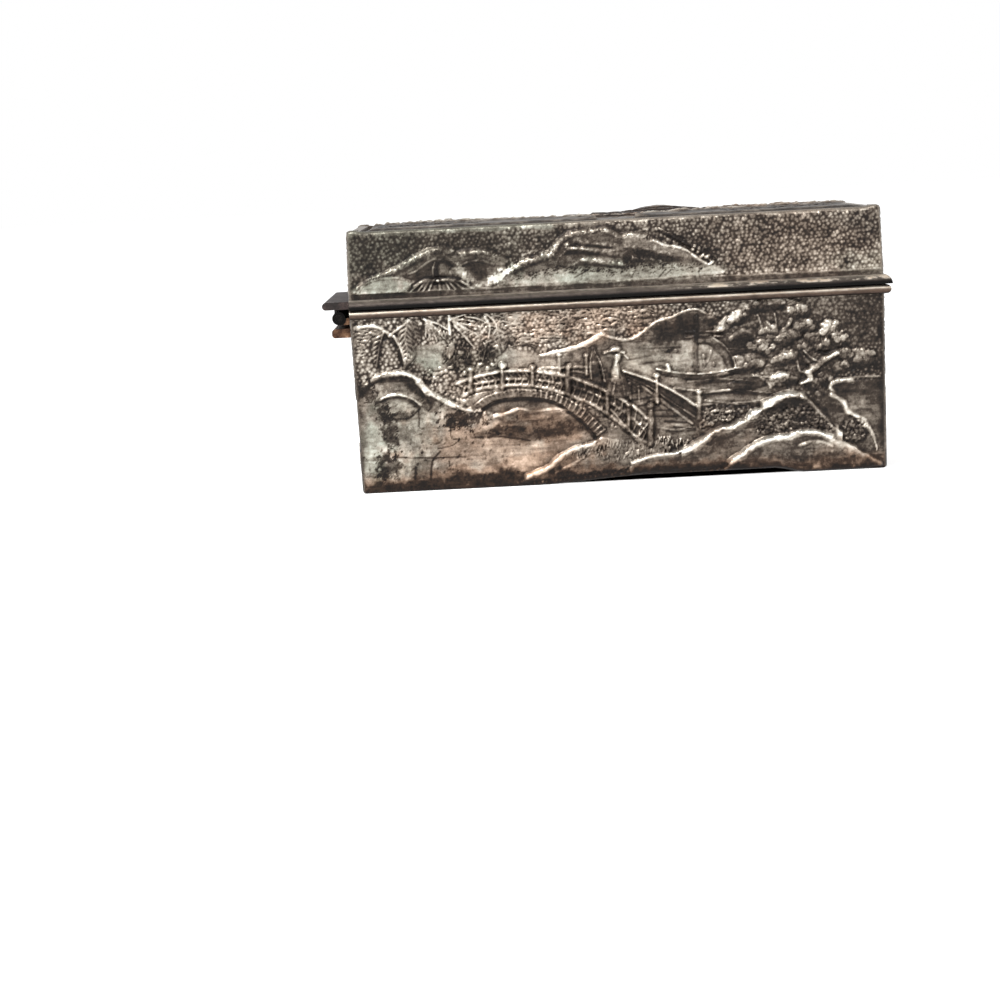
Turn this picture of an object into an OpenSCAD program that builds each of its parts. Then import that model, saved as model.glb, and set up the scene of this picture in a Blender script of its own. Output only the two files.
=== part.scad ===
// A stamp box of silvered white metal: cast plates soldered into a base and a lid, with a stop hinge.
// The origin is the middle of the underside. X runs along the long side, away from the hinge.
// The face with the bridge looks to -Y, and the seam is level with the top of the base.

/* [Box] */
// Length of the box at the seam, without the mouldings
box_l = 70.5; // [62:0.5:90]
// Depth of the box at the seam, front to back
box_d = 44.3; // [36:0.5:60]
// Height of the base, from the table to the seam
base_h = 24.3; // [20:0.5:34]
// Height of the lid, from the seam to the top of its walls
lid_h = 10.2; // [9:0.2:16]
// Gap between lid and base when the box is shut
seam_gap = 0.1; // [0.05:0.05:0.2]
// How far each base wall leans in from the seam to the foot
base_lean = 0.6; // [0:0.1:1]
// How far each lid wall leans in from the seam to the top
lid_lean = 0.15; // [0:0.05:0.5]

/* [Castings] */
// Thickness of the base walls at the seam
base_wall = 2; // [1.8:0.1:3]
// Thickness of the floor plate
floor_t = 1.2; // [0.8:0.1:2]
// Thickness of the lid's top plate at its edge
top_t = 1.1; // [0.8:0.1:1.6]
// Depth of the groove that runs round the top picture
groove_drop = 0.5; // [0.3:0.1:0.8]
// Width of that groove
groove_w = 0.9; // [0.5:0.1:2]

/* [Mouldings] */
// Height of the lid's moulding
lid_bead_h = 1.3; // [1:0.1:1.6]
// How far the lid's moulding stands out at its lip
lid_bead_out = 1.05; // [0.6:0.05:1.3]
// Height of the base's half-round moulding
base_bead_h = 1.2; // [0.8:0.1:1.6]
// How far the base's moulding stands out
base_bead_out = 0.85; // [0.8:0.05:1.2]

/* [Liner] */
// Thickness of the sheet liner
liner_t = 0.5; // [0.3:0.1:0.8]
// Height of the liner's lip above the seam
liner_lip = 0.8; // [0.5:0.1:1.5]
// Clearance of the liner in the base
liner_fit = 0.05; // [0.02:0.01:0.1]
// Clearance between the liner's lip and the lid
lip_gap = 0.35; // [0.3:0.05:0.5]
// Thickness of the dividers
divider_t = 0.6; // [0.4:0.1:1]
// How far the dividers stop below the seam
divider_drop = 2; // [1:0.5:5]
// Thickness of the curved stamp floors
trough_t = 0.5; // [0.3:0.1:0.8]
// How far the stamp floors rise from the middle to their ends
trough_rise = 9; // [6:0.5:11]
// Clearance round the dividers and stamp floors
sheet_fit = 0.05; // [0.02:0.01:0.1]

/* [Hinge] */
// Distance from the ends of the hinge to the corners of the box
hinge_inset = 3.15; // [2.5:0.05:8]
// Radius of the hinge pin
pin_r = 0.5; // [0.4:0.05:0.6]
// Clearance of the pin in the base's knuckles
pin_fit = 0.01; // [0.01:0.01:0.03]
// Running clearance of the lid's knuckles on the pin
pin_play = 0.05; // [0.03:0.01:0.08]
// Wall of a knuckle round its bore
knuckle_wall = 0.32; // [0.25:0.01:0.4]
// Gap between neighbouring knuckles
knuckle_gap = 0.1; // [0.05:0.05:0.3]
// Clearance between the barrel and the wall of the box
barrel_gap = 0.73; // [0.5:0.01:1]
// Clearance between the barrel and the lid's flange above it
flange_gap = 0.28; // [0.2:0.01:0.4]
// Height of the open space between the barrel and the base's flange
stop_gap = 0.52; // [0.4:0.01:0.8]
// Thickness of the lid's leaf and flange
lid_leaf_t = 1; // [0.8:0.1:1.2]
// How far the lid's leaf is let into the lid's wall
lid_leaf_in = 1.2; // [0.8:0.1:1.3]
// How far the lid's flange reaches past the place where the flanges meet
flange_over = 0.3; // [0.1:0.1:0.8]
// Thickness of the base's leaf
base_leaf_t = 0.6; // [0.4:0.1:0.8]
// Thickness of the base's flange
base_flange_t = 1.2; // [1:0.1:1.5]
// Radius on the tip of the base's flange
flange_tip_r = 0.45; // [0.3:0.05:0.5]
// Radius of the fillet under the base's flange
flange_fillet = 0.4; // [0.2:0.1:0.6]
// Angle through which the lid opens
open_angle = 92; // [90:1:95]
// Angle left between the flanges when the lid is open
stop_spare = 3; // [2:0.5:5]

/* [Relief] */
// Height of the nearest hills over the wall
near_h = 0.9; // [0.5:0.05:1]
// Height of the banks and the bridge
mid_h = 0.6; // [0.3:0.05:0.8]
// Height of the boat, the trees and the far hills
far_h = 0.35; // [0.2:0.05:0.6]
// Width of a rail or a contour line
line_w = 0.5; // [0.3:0.05:0.8]
// How deep the relief is rooted in its wall
root = 0.4; // [0.2:0.05:0.5]
// Bare rim left round the relief
relief_rim = 0.5; // [0.3:0.1:1]
// Height of the mountain over the edge of the lid
peak_h = 1.2; // [0.6:0.1:2]

/* [Hidden] */
$fn = 64;

lid_z = base_h + seam_gap;
top_z = lid_z + lid_h;
// The lid's walls stand clear of the liner's lip by lip_gap
lid_wall = base_wall + liner_fit - lip_gap;
cavity_l = box_l - 2 * base_wall;
cavity_d = box_d - 2 * base_wall;
lid_cavity_l = box_l - 2 * lid_wall;
lid_cavity_d = box_d - 2 * lid_wall;
liner_l = cavity_l - 2 * liner_fit;
liner_d = cavity_d - 2 * liner_fit;
well_l = liner_l - 2 * liner_t;
well_d = liner_d - 2 * liner_t;
cell_l = (well_l - 2 * divider_t) / 3;

hinge_w = box_d - 2 * hinge_inset;
barrel_r = pin_r + pin_play + knuckle_wall;
pin_x = -box_l / 2 - barrel_gap - barrel_r;
// Heights from the pin's axis up to the lid's flange and down to the base's flange
up = barrel_r + flange_gap;
down = barrel_r + stop_gap;
pin_z = lid_z - up;
tip_r = min(flange_tip_r, base_flange_t / 2);
// The base's flange just meets the lid's flange at this angle, which fixes its reach past the pin
stop_angle = open_angle + stop_spare;
base_reach = tip_r + (up - tip_r + (down + tip_r) * cos(stop_angle)) / sin(stop_angle);
lid_reach = down + tip_r + flange_over;
knuckles = 5;
knuckle_pitch = hinge_w / knuckles;

trough_chord = well_d - 2 * sheet_fit;
trough_r = (pow(trough_chord / 2, 2) + pow(trough_rise, 2)) / (2 * trough_rise);
trough_z = floor_t + sheet_fit + trough_t;

// Sizes of the walls on which the scenes were drawn: the scenes stretch with the real walls
drawn_long = 69;
drawn_short = 42.8;
drawn_base = 24.3;
drawn_lid = 10.2;
drawn_top_l = 67;
drawn_top_d = 40.8;

// How far a cutter runs past what it cuts
spare = 1;
// Bare strip between a relief and the moulding
relief_gap = 0.2;

metal = [0.64, 0.61, 0.57];
dark_metal = [0.45, 0.42, 0.39];
worn_metal = [0.72, 0.68, 0.62];
copper_metal = [0.52, 0.42, 0.35];

// Point at share t of the way from b to c on a smooth line through a, b, c and d
function bend(a, b, c, d, t) =
    (2 * b + (c - a) * t + (2 * a - 5 * b + 4 * c - d) * t * t + (3 * b - a - 3 * c + d) * t * t * t) / 2;

// A smooth line through a few points
function curve(p, steps = 3) = let (last = len(p) - 1) [
    for (i = [0 : last - 1], k = [0 : steps - 1])
        bend(p[max(i - 1, 0)], p[i], p[i + 1], p[min(i + 2, last)], k / steps),
    p[last]
];

function reversed(p) = [for (i = [len(p) - 1 : -1 : 0]) p[i]];

// Direction across a line at its point i
function across(p, i) =
    let (d = p[min(i + 1, len(p) - 1)] - p[max(i - 1, 0)]) [-d[1], d[0]] / norm(d);

// One side of a ribbon that tapers from width w to width w_end
function ribbon_side(p, w, w_end, side) = [
    for (i = [0 : len(p) - 1])
        p[i] + side * (w + (w_end - w) * i / (len(p) - 1)) / 2 * across(p, i)
];

// A drawn point, stretched to the real wall
function fit(p) = [p[0] * $stretch[0], p[1] * $stretch[1]];
function fit_all(p) = [for (q = p) fit(q)];

// Raises a flat outline to height h over its wall, with a root in the wall
module raised(h) {
    translate([0, 0, -root])
        linear_extrude(root + h)
            children();
}

// A bank between an upper and a lower line
module bank(upper, lower, h) {
    raised(h)
        polygon(concat(curve(fit_all(upper)), reversed(curve(fit_all(lower)))));
}

// A hill that fills from its ridge down to a level foot
module hill(ridge, foot, h) {
    last = len(ridge) - 1;
    raised(h)
        polygon(concat(curve(fit_all(ridge)), [fit([ridge[last][0], foot]), fit([ridge[0][0], foot])]));
}

// A ribbon along a drawn line, such as a rail, a trunk or a frond
module ribbon(line, h, w = line_w, w_end = line_w) {
    p = curve(fit_all(line));
    raised(h)
        polygon(concat(ribbon_side(p, w, w_end, 1), reversed(ribbon_side(p, w, w_end, -1))));
}

// A straight upright bar from height z0 to z1
module post(x, z0, z1, h, w = line_w) {
    foot = fit([x, z0]);
    head = fit([x, z1]);
    raised(h)
        translate([foot[0] - w / 2, foot[1]])
            square([w, head[1] - foot[1]]);
}

// A flat oval pad of foliage or rock
module pad(x, z, w, thick, h) {
    raised(h)
        translate(fit([x, z])) {
            square([w - thick, thick], center = true);
            for (s = [-1, 1])
                translate([s * (w - thick) / 2, 0])
                    circle(d = thick, $fn = 24);
        }
}

// A round tuft: the cap of a sphere, h high, r across at its foot
module tuft(x, z, r, h) {
    ball_r = (r * r + h * h) / (2 * h);
    place = fit([x, z]);
    translate([place[0], place[1], 0])
        intersection() {
            translate([0, 0, h - ball_r])
                sphere(ball_r, $fn = 32);
            translate([0, 0, (h - root) / 2])
                cube([3 * r, 3 * r, h + root], center = true);
        }
}

// Stands a drawing up on the leaning face of a wall at -Y
module on_wall(half, lean, h, z) {
    translate([0, lean - half, z])
        rotate([90 + atan(lean / h), 0, 0])
            children();
}

// A plan that cuts the ends of a wall at 45 degrees: l is its length on the line y = -half
module mitre_plan(l, half, depth) {
    polygon([[-l / 2, -half], [l / 2, -half], [l / 2 - depth, depth - half], [depth - l / 2, depth - half]]);
}

// A plain cast wall at -Y, leaning in towards its foot
module base_wall_plate(l, half) {
    intersection() {
        rotate([90, 0, 90])
            linear_extrude(l + spare, center = true)
                polygon([[-half, base_h], [base_wall - half, base_h],
                    [base_wall - half, 0], [base_lean - half, 0]]);
        linear_extrude(base_h)
            mitre_plan(l, half, 2 * base_wall);
    }
}

// A plain cast wall of the lid at -Y, leaning in towards its top
module lid_wall_plate(l, half) {
    translate([0, 0, lid_z])
        intersection() {
            rotate([90, 0, 90])
                linear_extrude(l + spare, center = true)
                    polygon([[lid_lean - half, lid_h], [lid_wall - half, lid_h],
                        [lid_wall - half, 0], [-half, 0]]);
            linear_extrude(lid_h)
                mitre_plan(l, half, 2 * lid_wall);
        }
}

// Keeps a base relief inside its wall, under the moulding
module base_window(l) {
    window_h = base_h - base_bead_h - relief_gap;
    intersection() {
        translate([relief_rim + base_lean - l / 2, 0, -root])
            cube([l - 2 * base_lean - 2 * relief_rim, window_h, root + near_h + spare]);
        union() children();
    }
}

// Keeps a lid relief inside its wall, over the moulding
module lid_window(l) {
    window_h = lid_h - lid_bead_h - relief_gap - relief_rim;
    intersection() {
        translate([relief_rim + lid_lean - l / 2, lid_bead_h + relief_gap, -root])
            cube([l - 2 * lid_lean - 2 * relief_rim, window_h, root + near_h + spare]);
        union() children();
    }
}

// The arched bridge with its rails, posts and a walker
module bridge() {
    deck = [[-20, 13], [-17.5, 13.5], [-13.5, 13.5], [-10.5, 13], [-7.5, 12],
        [-4.5, 10.4], [-2, 8.8], [0, 7], [2.5, 4.4]];
    soffit = [[-19, 10.5], [-17, 11.5], [-14.5, 12], [-11.5, 11.8],
        [-9, 11.2], [-6.5, 10], [-5, 8], [-3.5, 5]];
    upper_rail = [[-22, 14], [-19.5, 14.8], [-15.5, 15.4], [-12, 15.2], [-8.5, 14.6],
        [-6, 13.8], [-3.5, 12.5], [0.5, 10.2], [2, 9], [3.8, 7.4]];
    lower_rail = [[-19.7, 13.9], [-15.6, 14.4], [-12.4, 14.2], [-9.3, 13.6],
        [-6.3, 12.8], [-3.5, 11.4], [0, 9], [2.8, 6.5]];
    near_posts = [[-20, 12.8, 15.6], [-15.5, 13.2, 16], [-11.8, 13, 15.8],
        [-6.6, 11.4, 14.6], [-2, 8.6, 12.2], [3.8, 4, 9]];
    bank(deck, soffit, mid_h);
    ribbon(upper_rail, mid_h);
    ribbon(lower_rail, far_h, 0.6 * line_w, 0.6 * line_w);
    for (p = near_posts)
        post(p[0], p[1], p[2], mid_h);
    // The far rail
    ribbon([[0.5, 14.3], [3, 13.2], [5, 12.4], [7.5, 10.8], [10.2, 8.9]], far_h);
    ribbon([[1.5, 13], [5, 10.3], [7.5, 8.1], [9.3, 6.6]], far_h);
    ribbon([[-9.3, 16.2], [-5, 15.5]], far_h);
    for (p = [[-9, 14.8, 16.8], [-3.5, 14.5, 17.8], [4.8, 10.4, 13.2], [10.4, 7.5, 10.8]])
        post(p[0], p[1], p[2], far_h);
}

// A walker under a wide hat
module walker() {
    bank([[-1.1, 16.6], [0, 16.8], [0.9, 16.5]], [[-1.2, 11], [-0.2, 10.6], [1.1, 11]], mid_h);
    bank([[-2, 16.8], [-0.5, 17.7], [1, 16.8]], [[-2, 16.5], [-0.5, 16.6], [1, 16.5]], mid_h);
}

// The boat with its mast, yard and curled sail
module boat() {
    bank([[5.3, 14], [10, 13.4], [15, 13.9]], [[7, 12.9], [10.5, 12.4], [14.6, 13]], mid_h);
    post(10.2, 13.2, 20.6, far_h, 0.4);
    ribbon([[9.5, 18.8], [13, 18.6]], far_h, 0.4, 0.3);
    ribbon([[11, 18.4], [13, 17.7], [14.5, 16], [14.8, 14.4]], far_h, 1.3, 0.9);
}

// The pines on the right, pads of needles on a crooked trunk
module pines() {
    for (p = [[15, 20.6, 3.2, 1.6], [19.6, 21, 4, 1.5], [24, 21.3, 3.6, 1.3], [19.2, 17.2, 4.4, 1.6],
        [24, 17.4, 3.4, 1.5], [28.8, 18.8, 3.4, 1.5], [30, 16.6, 3.6, 1.4], [31, 14.4, 3, 1.4],
        [17.5, 13.9, 3.8, 1.6], [21.2, 12.3, 3.4, 1.4]])
        pad(p[0], p[1], p[2], p[3], far_h);
    ribbon([[29.5, 15.6], [27.5, 14.2], [25, 12.2], [27, 9.6]], mid_h, 0.5, 1);
    ribbon([[29.5, 15.6], [28.5, 17.8], [26, 19], [24.5, 20.8]], far_h, 0.5, 0.3);
}

// The hills and bushes in the lower right corner
module right_shore() {
    ribbon([[29, 13], [31.3, 9.7], [33.4, 8.6], [34.4, 5.8]], mid_h, 0.8, 0.8);
    pad(30.5, 11.4, 3.2, 1, mid_h);
    far_ridge = [[1, 2], [5.2, 2.6], [9.5, 3], [13.5, 5.6], [17, 7.4],
        [20.5, 10], [23.5, 10.5], [26, 8.4], [29.3, 5.3], [34.5, 3.5]];
    near_ridge = [[14.5, 1.2], [19, 3.5], [22, 5.2], [25, 5.7], [28.5, 4.4], [34.5, 2.6]];
    bushes = [[18.4, 7.8, 1], [20.4, 8.9, 1.1], [22.6, 9.4, 1.1], [24.7, 8.3, 1.1],
        [21, 6.9, 1], [23, 7.3, 1], [26.6, 7, 1], [13.8, 5.2, 0.9],
        [15.6, 6.1, 1], [28.8, 6.2, 0.9], [30.8, 5.4, 0.9]];
    hill(far_ridge, 0, mid_h);
    hill(near_ridge, 0, near_h);
    for (p = bushes)
        tuft(p[0], p[1], p[2], near_h);
}

// The bank at the left, the mound in the middle and the line of the still water
module left_shore() {
    bank([[-34.5, 13], [-32.4, 15], [-29, 15.4], [-27, 14.4], [-25, 13.1], [-23, 11.6], [-19, 10.4]],
        [[-34.5, 11], [-31.2, 12.3], [-29.5, 12.4], [-27, 11.2], [-24, 9.8], [-19, 9.4]], mid_h);
    hill([[-13.5, 1], [-9.4, 3.1], [-6.5, 4.4], [-2.7, 5.3], [1.5, 5.3], [5, 3.4], [8, 2.4]], 0, near_h);
    for (p = [[-8.6, 2.7, 0.8], [-6, 3.6, 0.9], [-3.4, 4.3, 0.9], [0, 4.4, 0.9], [2.8, 3.8, 0.8]])
        tuft(p[0], p[1], p[2], near_h);
    ribbon([[-18.5, 8.6], [-16, 9.6], [-12.8, 10], [-8.5, 9.8]], 0.6 * far_h, line_w, line_w);
}

// The far hills and the fronds over the bridge
module far_shore() {
    ridge = [[-11.5, 16.9], [-9, 17.6], [-6.3, 18.2], [-4.4, 18.9], [-2.3, 19.7], [1.5, 18.7], [4, 19.8],
        [7.6, 21.4], [10.4, 22.2], [13.4, 21]];
    shore = [[-11.5, 16.4], [-5, 17], [2, 17.2], [7, 18], [13.4, 19.6]];
    fronds = [
        [[-26.5, 16.5], [-28.5, 19.6], [-33.4, 21.4]],
        [[-25.5, 16.6], [-26, 20], [-28.5, 22.2]],
        [[-25, 16.6], [-24, 20.2], [-21, 22.2]],
        [[-24.5, 16.4], [-21, 19.4], [-15.6, 20.2]],
        [[-20.5, 17], [-16.5, 18.3], [-12.5, 17.8]],
        [[-20, 20.4], [-16, 22.2], [-11.5, 21.6]]
    ];
    bank(ridge, shore, far_h);
    for (f = fronds)
        ribbon(f, far_h, 1.5, 0.3);
    ribbon([[-32.2, 16.6], [-30.6, 20.2], [-29, 16.6]], far_h, 0.6, 0.6);
}

// The scene on the long walls of the base
module base_long_scene() {
    $stretch = [box_l / drawn_long * (1 - 2 * base_lean / box_l), base_h / drawn_base];
    base_window(box_l) {
        far_shore();
        bridge();
        walker();
        boat();
        pines();
        left_shore();
        right_shore();
    }
}

// The scene on the short walls of the base: a leaning pine on a rock, with far hills over water
module base_short_scene() {
    $stretch = [box_d / drawn_short * (1 - 2 * base_lean / box_d), base_h / drawn_base];
    base_window(box_d) {
        hill([[-21, 9.5], [-18, 10], [-14.5, 8.4], [-11, 5], [-6, 2.6], [-2, 1]], 0, near_h);
        hill([[4, 1], [9, 3], [14, 5.4], [18, 5.8], [21, 5]], 0, mid_h);
        ribbon([[-17, 8.5], [-15, 12.4], [-11, 14], [-7.5, 17.4]], mid_h, 1.2, 0.5);
        for (p = [[-16.5, 15.6, 5, 1.7], [-9.5, 18.4, 5.4, 1.6], [-5.6, 15.8, 4.4, 1.4], [-12, 12.4, 3.4, 1.3]])
            pad(p[0], p[1], p[2], p[3], mid_h);
        bank([[-1, 13], [3, 15.4], [7, 18], [10, 16.4], [15, 14.6], [20, 13.2]],
            [[-1, 12.4], [5, 12.6], [12, 12.4], [20, 12.4]], far_h);
        bank([[3, 9], [7, 8.5], [11.5, 9]], [[4.2, 8.2], [7, 7.8], [10.6, 8.2]], mid_h);
        post(7.2, 8.4, 12, far_h, 0.4);
        for (p = [[-16, 5.6, 1.2], [-12.6, 3.6, 1], [12, 3.4, 1], [15.6, 4.2, 1.1]])
            tuft(p[0], p[1], p[2], near_h);
    }
}

// The scene on the long walls of the lid: two misty hills, a hut and a tree
module lid_long_scene() {
    $stretch = [box_l / drawn_long * (1 - 2 * lid_lean / box_l), lid_h / drawn_lid];
    lid_window(box_l) {
        hill([[-33.8, 2.6], [-30, 4.7], [-26.5, 5.9], [-22.8, 6.6],
            [-19, 6.8], [-15.7, 5.9], [-13, 4.6], [-10.5, 2]], 1.4, far_h);
        hill([[-16, 3], [-12, 5.4], [-8, 6.2], [-6.8, 7.5], [-4, 8.5], [-1.5, 8.7],
            [1.5, 8], [5, 7], [9, 5.7], [12, 3.8], [15, 1.8]], 1.4, mid_h);
        hill([[-27.5, 3.4], [-25.4, 3.9], [-23, 5.4], [-20.6, 3.9], [-18.5, 3.4]], 3, near_h);
        post(-24.6, 1.6, 3.4, near_h);
        post(-21.4, 1.6, 3.4, near_h);
        for (p = [[6.6, 7, 1], [8.6, 7.7, 1.1], [10.7, 7.2, 1.1], [12.6, 5.9, 1], [9.6, 6, 1]])
            tuft(p[0], p[1], p[2], mid_h);
    }
}

// The scene on the short walls of the lid: one long hill with a grove
module lid_short_scene() {
    $stretch = [box_d / drawn_short * (1 - 2 * lid_lean / box_d), lid_h / drawn_lid];
    lid_window(box_d) {
        hill([[-20, 2], [-14, 4.6], [-8, 6.6], [-3, 7.6], [2, 6.8], [8, 4.4], [13, 2]], 1.4, mid_h);
        for (p = [[10, 5.6, 1.1], [12, 6.4, 1.2], [14, 5.8, 1.1]])
            tuft(p[0], p[1], p[2], mid_h);
    }
}

// One long wall of the base, with its scene
module base_long_panel() {
    base_wall_plate(box_l, box_d / 2);
    on_wall(box_d / 2, base_lean, base_h, 0)
        base_long_scene();
}

// One short wall of the base, with its scene
module base_short_panel() {
    base_wall_plate(box_d, box_l / 2);
    on_wall(box_l / 2, base_lean, base_h, 0)
        base_short_scene();
}

// One long wall of the lid, with its scene
module lid_long_panel() {
    lid_wall_plate(box_l, box_d / 2);
    on_wall(box_d / 2, 0, lid_h, lid_z)
        rotate([-atan(lid_lean / lid_h), 0, 0])
            lid_long_scene();
}

// One short wall of the lid, with its scene
module lid_short_panel() {
    lid_wall_plate(box_d, box_l / 2);
    on_wall(box_l / 2, 0, lid_h, lid_z)
        rotate([-atan(lid_lean / lid_h), 0, 0])
            lid_short_scene();
}

module base_front_panel() {
    color(metal)
        base_long_panel();
}

module base_back_panel() {
    color(metal)
        rotate([0, 0, 180])
            base_long_panel();
}

module base_free_end_panel() {
    color(metal)
        rotate([0, 0, 90])
            base_short_panel();
}

module base_hinge_end_panel() {
    color(metal)
        difference() {
            rotate([0, 0, -90])
                base_short_panel();
            hinge_leaf_pocket();
        }
}

// The shallow pocket in which the hinge's base leaf lies, open at the rim
module hinge_leaf_pocket() {
    foot_z = pin_z - down - base_flange_t;
    translate([-box_l / 2 - spare, -hinge_w / 2, foot_z])
        cube([spare + base_leaf_t, hinge_w, base_h - foot_z + spare]);
}

module base_floor_plate() {
    color(dark_metal)
        translate([-cavity_l / 2, -cavity_d / 2, 0])
            cube([cavity_l, cavity_d, floor_t]);
}

// Two sections crossed, the first run along X and the second along Y, which leaves mitred corners
module crossed() {
    intersection() {
        rotate([90, 0, 90])
            linear_extrude(2 * box_l, center = true)
                children(0);
        rotate([90, 0, 0])
            linear_extrude(2 * box_l, center = true)
                children(1);
    }
}

// Section right across the base's moulding, with a half round on both edges
module base_bead_section(half) {
    edge = half + base_bead_out - base_bead_h / 2;
    translate([-edge, base_h - base_bead_h])
        square([2 * edge, base_bead_h]);
    for (s = [-1, 1])
        translate([s * edge, base_h - base_bead_h / 2])
            circle(d = base_bead_h);
}

// Section right across the lid's moulding, round above, with a sharp lip at the seam on both edges
module lid_bead_section(half) {
    bead_r = (pow(lid_bead_out, 2) + pow(lid_bead_h, 2)) / (2 * lid_bead_out);
    edge = half + lid_bead_out - bead_r;
    intersection() {
        union() {
            translate([-edge, lid_z])
                square([2 * edge, bead_r]);
            for (s = [-1, 1])
                translate([s * edge, lid_z])
                    circle(bead_r, $fn = 96);
        }
        translate([-half - lid_bead_out, lid_z])
            square([2 * (half + lid_bead_out), lid_bead_h]);
    }
}

// Section right across the base, its slope run on above the seam, and carried on at the left by past
module base_block(half, past = 0) {
    polygon([[-half - base_lean - past, 2 * base_h], [half + base_lean, 2 * base_h],
        [half - base_lean, 0], [base_lean - half - past, 0]]);
}

// Section right across the lid, its slope run on below the seam, and carried on at the left by past
module lid_block(half, past = 0) {
    polygon([[lid_lean - half - past, top_z], [half - lid_lean, top_z],
        [half + lid_lean, lid_z - lid_h], [-half - lid_lean - past, lid_z - lid_h]]);
}

// Cuts off what stands out past the hinge end
module past_hinge_end(out) {
    translate([-box_l / 2 - out - spare, -box_d, 0])
        cube([out + spare, 2 * box_d, 2 * top_z]);
}

module base_rim_moulding() {
    color(worn_metal)
        difference() {
            crossed() {
                base_bead_section(box_d / 2);
                base_bead_section(box_l / 2);
            }
            crossed() {
                base_block(box_d / 2);
                base_block(box_l / 2, base_bead_out + spare);
            }
            past_hinge_end(base_bead_out);
        }
}

module lid_rim_moulding() {
    color(worn_metal)
        difference() {
            crossed() {
                lid_bead_section(box_d / 2);
                lid_bead_section(box_l / 2);
            }
            crossed() {
                lid_block(box_d / 2);
                lid_block(box_l / 2, lid_bead_out + spare);
            }
            past_hinge_end(lid_bead_out);
        }
}

// Middle of knuckle i along the hinge, counted from the front
function knuckle_y(i) = (i + 0.5) * knuckle_pitch - hinge_w / 2;

// A length of anything drawn in the hinge's section, with the pin's axis at its origin
module along_hinge(y, l) {
    translate([pin_x, y, pin_z])
        rotate([90, 0, 0])
            linear_extrude(l, center = true)
                children();
}

// Bore through a hinge leaf's knuckles
module pin_bore(r) {
    translate([pin_x, 0, pin_z])
        rotate([90, 0, 0])
            cylinder(h = hinge_w + 2 * spare, r = r, center = true, $fn = 48);
}

module hinge_base_leaf() {
    wall_x = -box_l / 2 - pin_x;
    leaf_foot = -down - base_flange_t;
    color(copper_metal)
        difference() {
            union() {
                // The plate in its pocket, and the stop flange with a round tip
                along_hinge(0, hinge_w) {
                    translate([wall_x, leaf_foot])
                        square([base_leaf_t, base_h - pin_z - leaf_foot]);
                    translate([tip_r - base_reach, leaf_foot])
                        square([base_reach - tip_r + wall_x, base_flange_t]);
                    translate([-base_reach, leaf_foot + tip_r])
                        square([tip_r + 0.01, base_flange_t - 2 * tip_r]);
                    for (z = [-down - tip_r, leaf_foot + tip_r])
                        translate([tip_r - base_reach, z])
                            circle(tip_r, $fn = 32);
                    // The fillet over the flange
                    difference() {
                        translate([wall_x - flange_fillet, -down])
                            square(flange_fillet);
                        translate([wall_x - flange_fillet, flange_fillet - down])
                            circle(flange_fillet, $fn = 32);
                    }
                }
                // The three base knuckles, each on an arm from the plate
                for (i = [0, 2, 4])
                    along_hinge(knuckle_y(i), knuckle_pitch - knuckle_gap) {
                        circle(barrel_r, $fn = 48);
                        translate([0, -barrel_r])
                            square([wall_x, barrel_r]);
                    }
            }
            pin_bore(pin_r + pin_fit);
        }
}

module hinge_lid_leaf() {
    wall_x = -box_l / 2 - pin_x;
    leaf_end = wall_x + lid_leaf_in;
    edge_r = lid_leaf_t / 2;
    color(worn_metal)
        difference() {
            union() {
                // The leaf, let into the lid's wall, and the stop flange with a round tip
                along_hinge(0, hinge_w) {
                    translate([edge_r - lid_reach, up])
                        square([lid_reach - edge_r + leaf_end, lid_leaf_t]);
                    translate([edge_r - lid_reach, up + edge_r])
                        circle(edge_r, $fn = 32);
                }
                // The two lid knuckles, each hung from the leaf by a web
                for (i = [1, 3])
                    along_hinge(knuckle_y(i), knuckle_pitch - knuckle_gap) {
                        circle(barrel_r, $fn = 48);
                        translate([-barrel_r, 0])
                            square([2 * barrel_r, up]);
                    }
            }
            pin_bore(pin_r + pin_play);
        }
}

module hinge_pin() {
    color(dark_metal)
        translate([pin_x, 0, pin_z])
            rotate([90, 0, 0])
                cylinder(h = hinge_w, r = pin_r, center = true, $fn = 48);
}

// The sheet band inside the base, with its lip above the seam
module liner_band() {
    color(dark_metal)
        translate([0, 0, floor_t])
            linear_extrude(base_h + liner_lip - floor_t)
                difference() {
                    square([liner_l, liner_d], center = true);
                    square([well_l, well_d], center = true);
                }
}

module liner_divider(side) {
    color(dark_metal)
        translate([side * (cell_l + divider_t) / 2 - divider_t / 2, sheet_fit - well_d / 2, floor_t])
            cube([divider_t, well_d - 2 * sheet_fit, base_h - divider_drop - floor_t]);
}

module liner_divider_left() {
    liner_divider(-1);
}

module liner_divider_right() {
    liner_divider(1);
}

// A curved sheet that rests on the floor plate along its middle
module stamp_floor(cell) {
    color(dark_metal)
        translate([cell * (cell_l + divider_t), 0, trough_z + trough_r])
            rotate([90, 0, 90])
                linear_extrude(cell_l - 2 * sheet_fit, center = true)
                    intersection() {
                        difference() {
                            circle(trough_r + trough_t, $fn = 180);
                            circle(trough_r, $fn = 180);
                        }
                        translate([-trough_chord / 2, -trough_r - 2 * trough_t])
                            square([trough_chord, trough_rise + 2 * trough_t]);
                    }
}

module stamp_floor_left() {
    stamp_floor(-1);
}

module stamp_floor_middle() {
    stamp_floor(0);
}

module stamp_floor_right() {
    stamp_floor(1);
}

module lid_front_panel() {
    color(metal)
        lid_long_panel();
}

module lid_back_panel() {
    color(metal)
        rotate([0, 0, 180])
            lid_long_panel();
}

module lid_free_end_panel() {
    color(metal)
        rotate([0, 0, 90])
            lid_short_panel();
}

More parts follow.
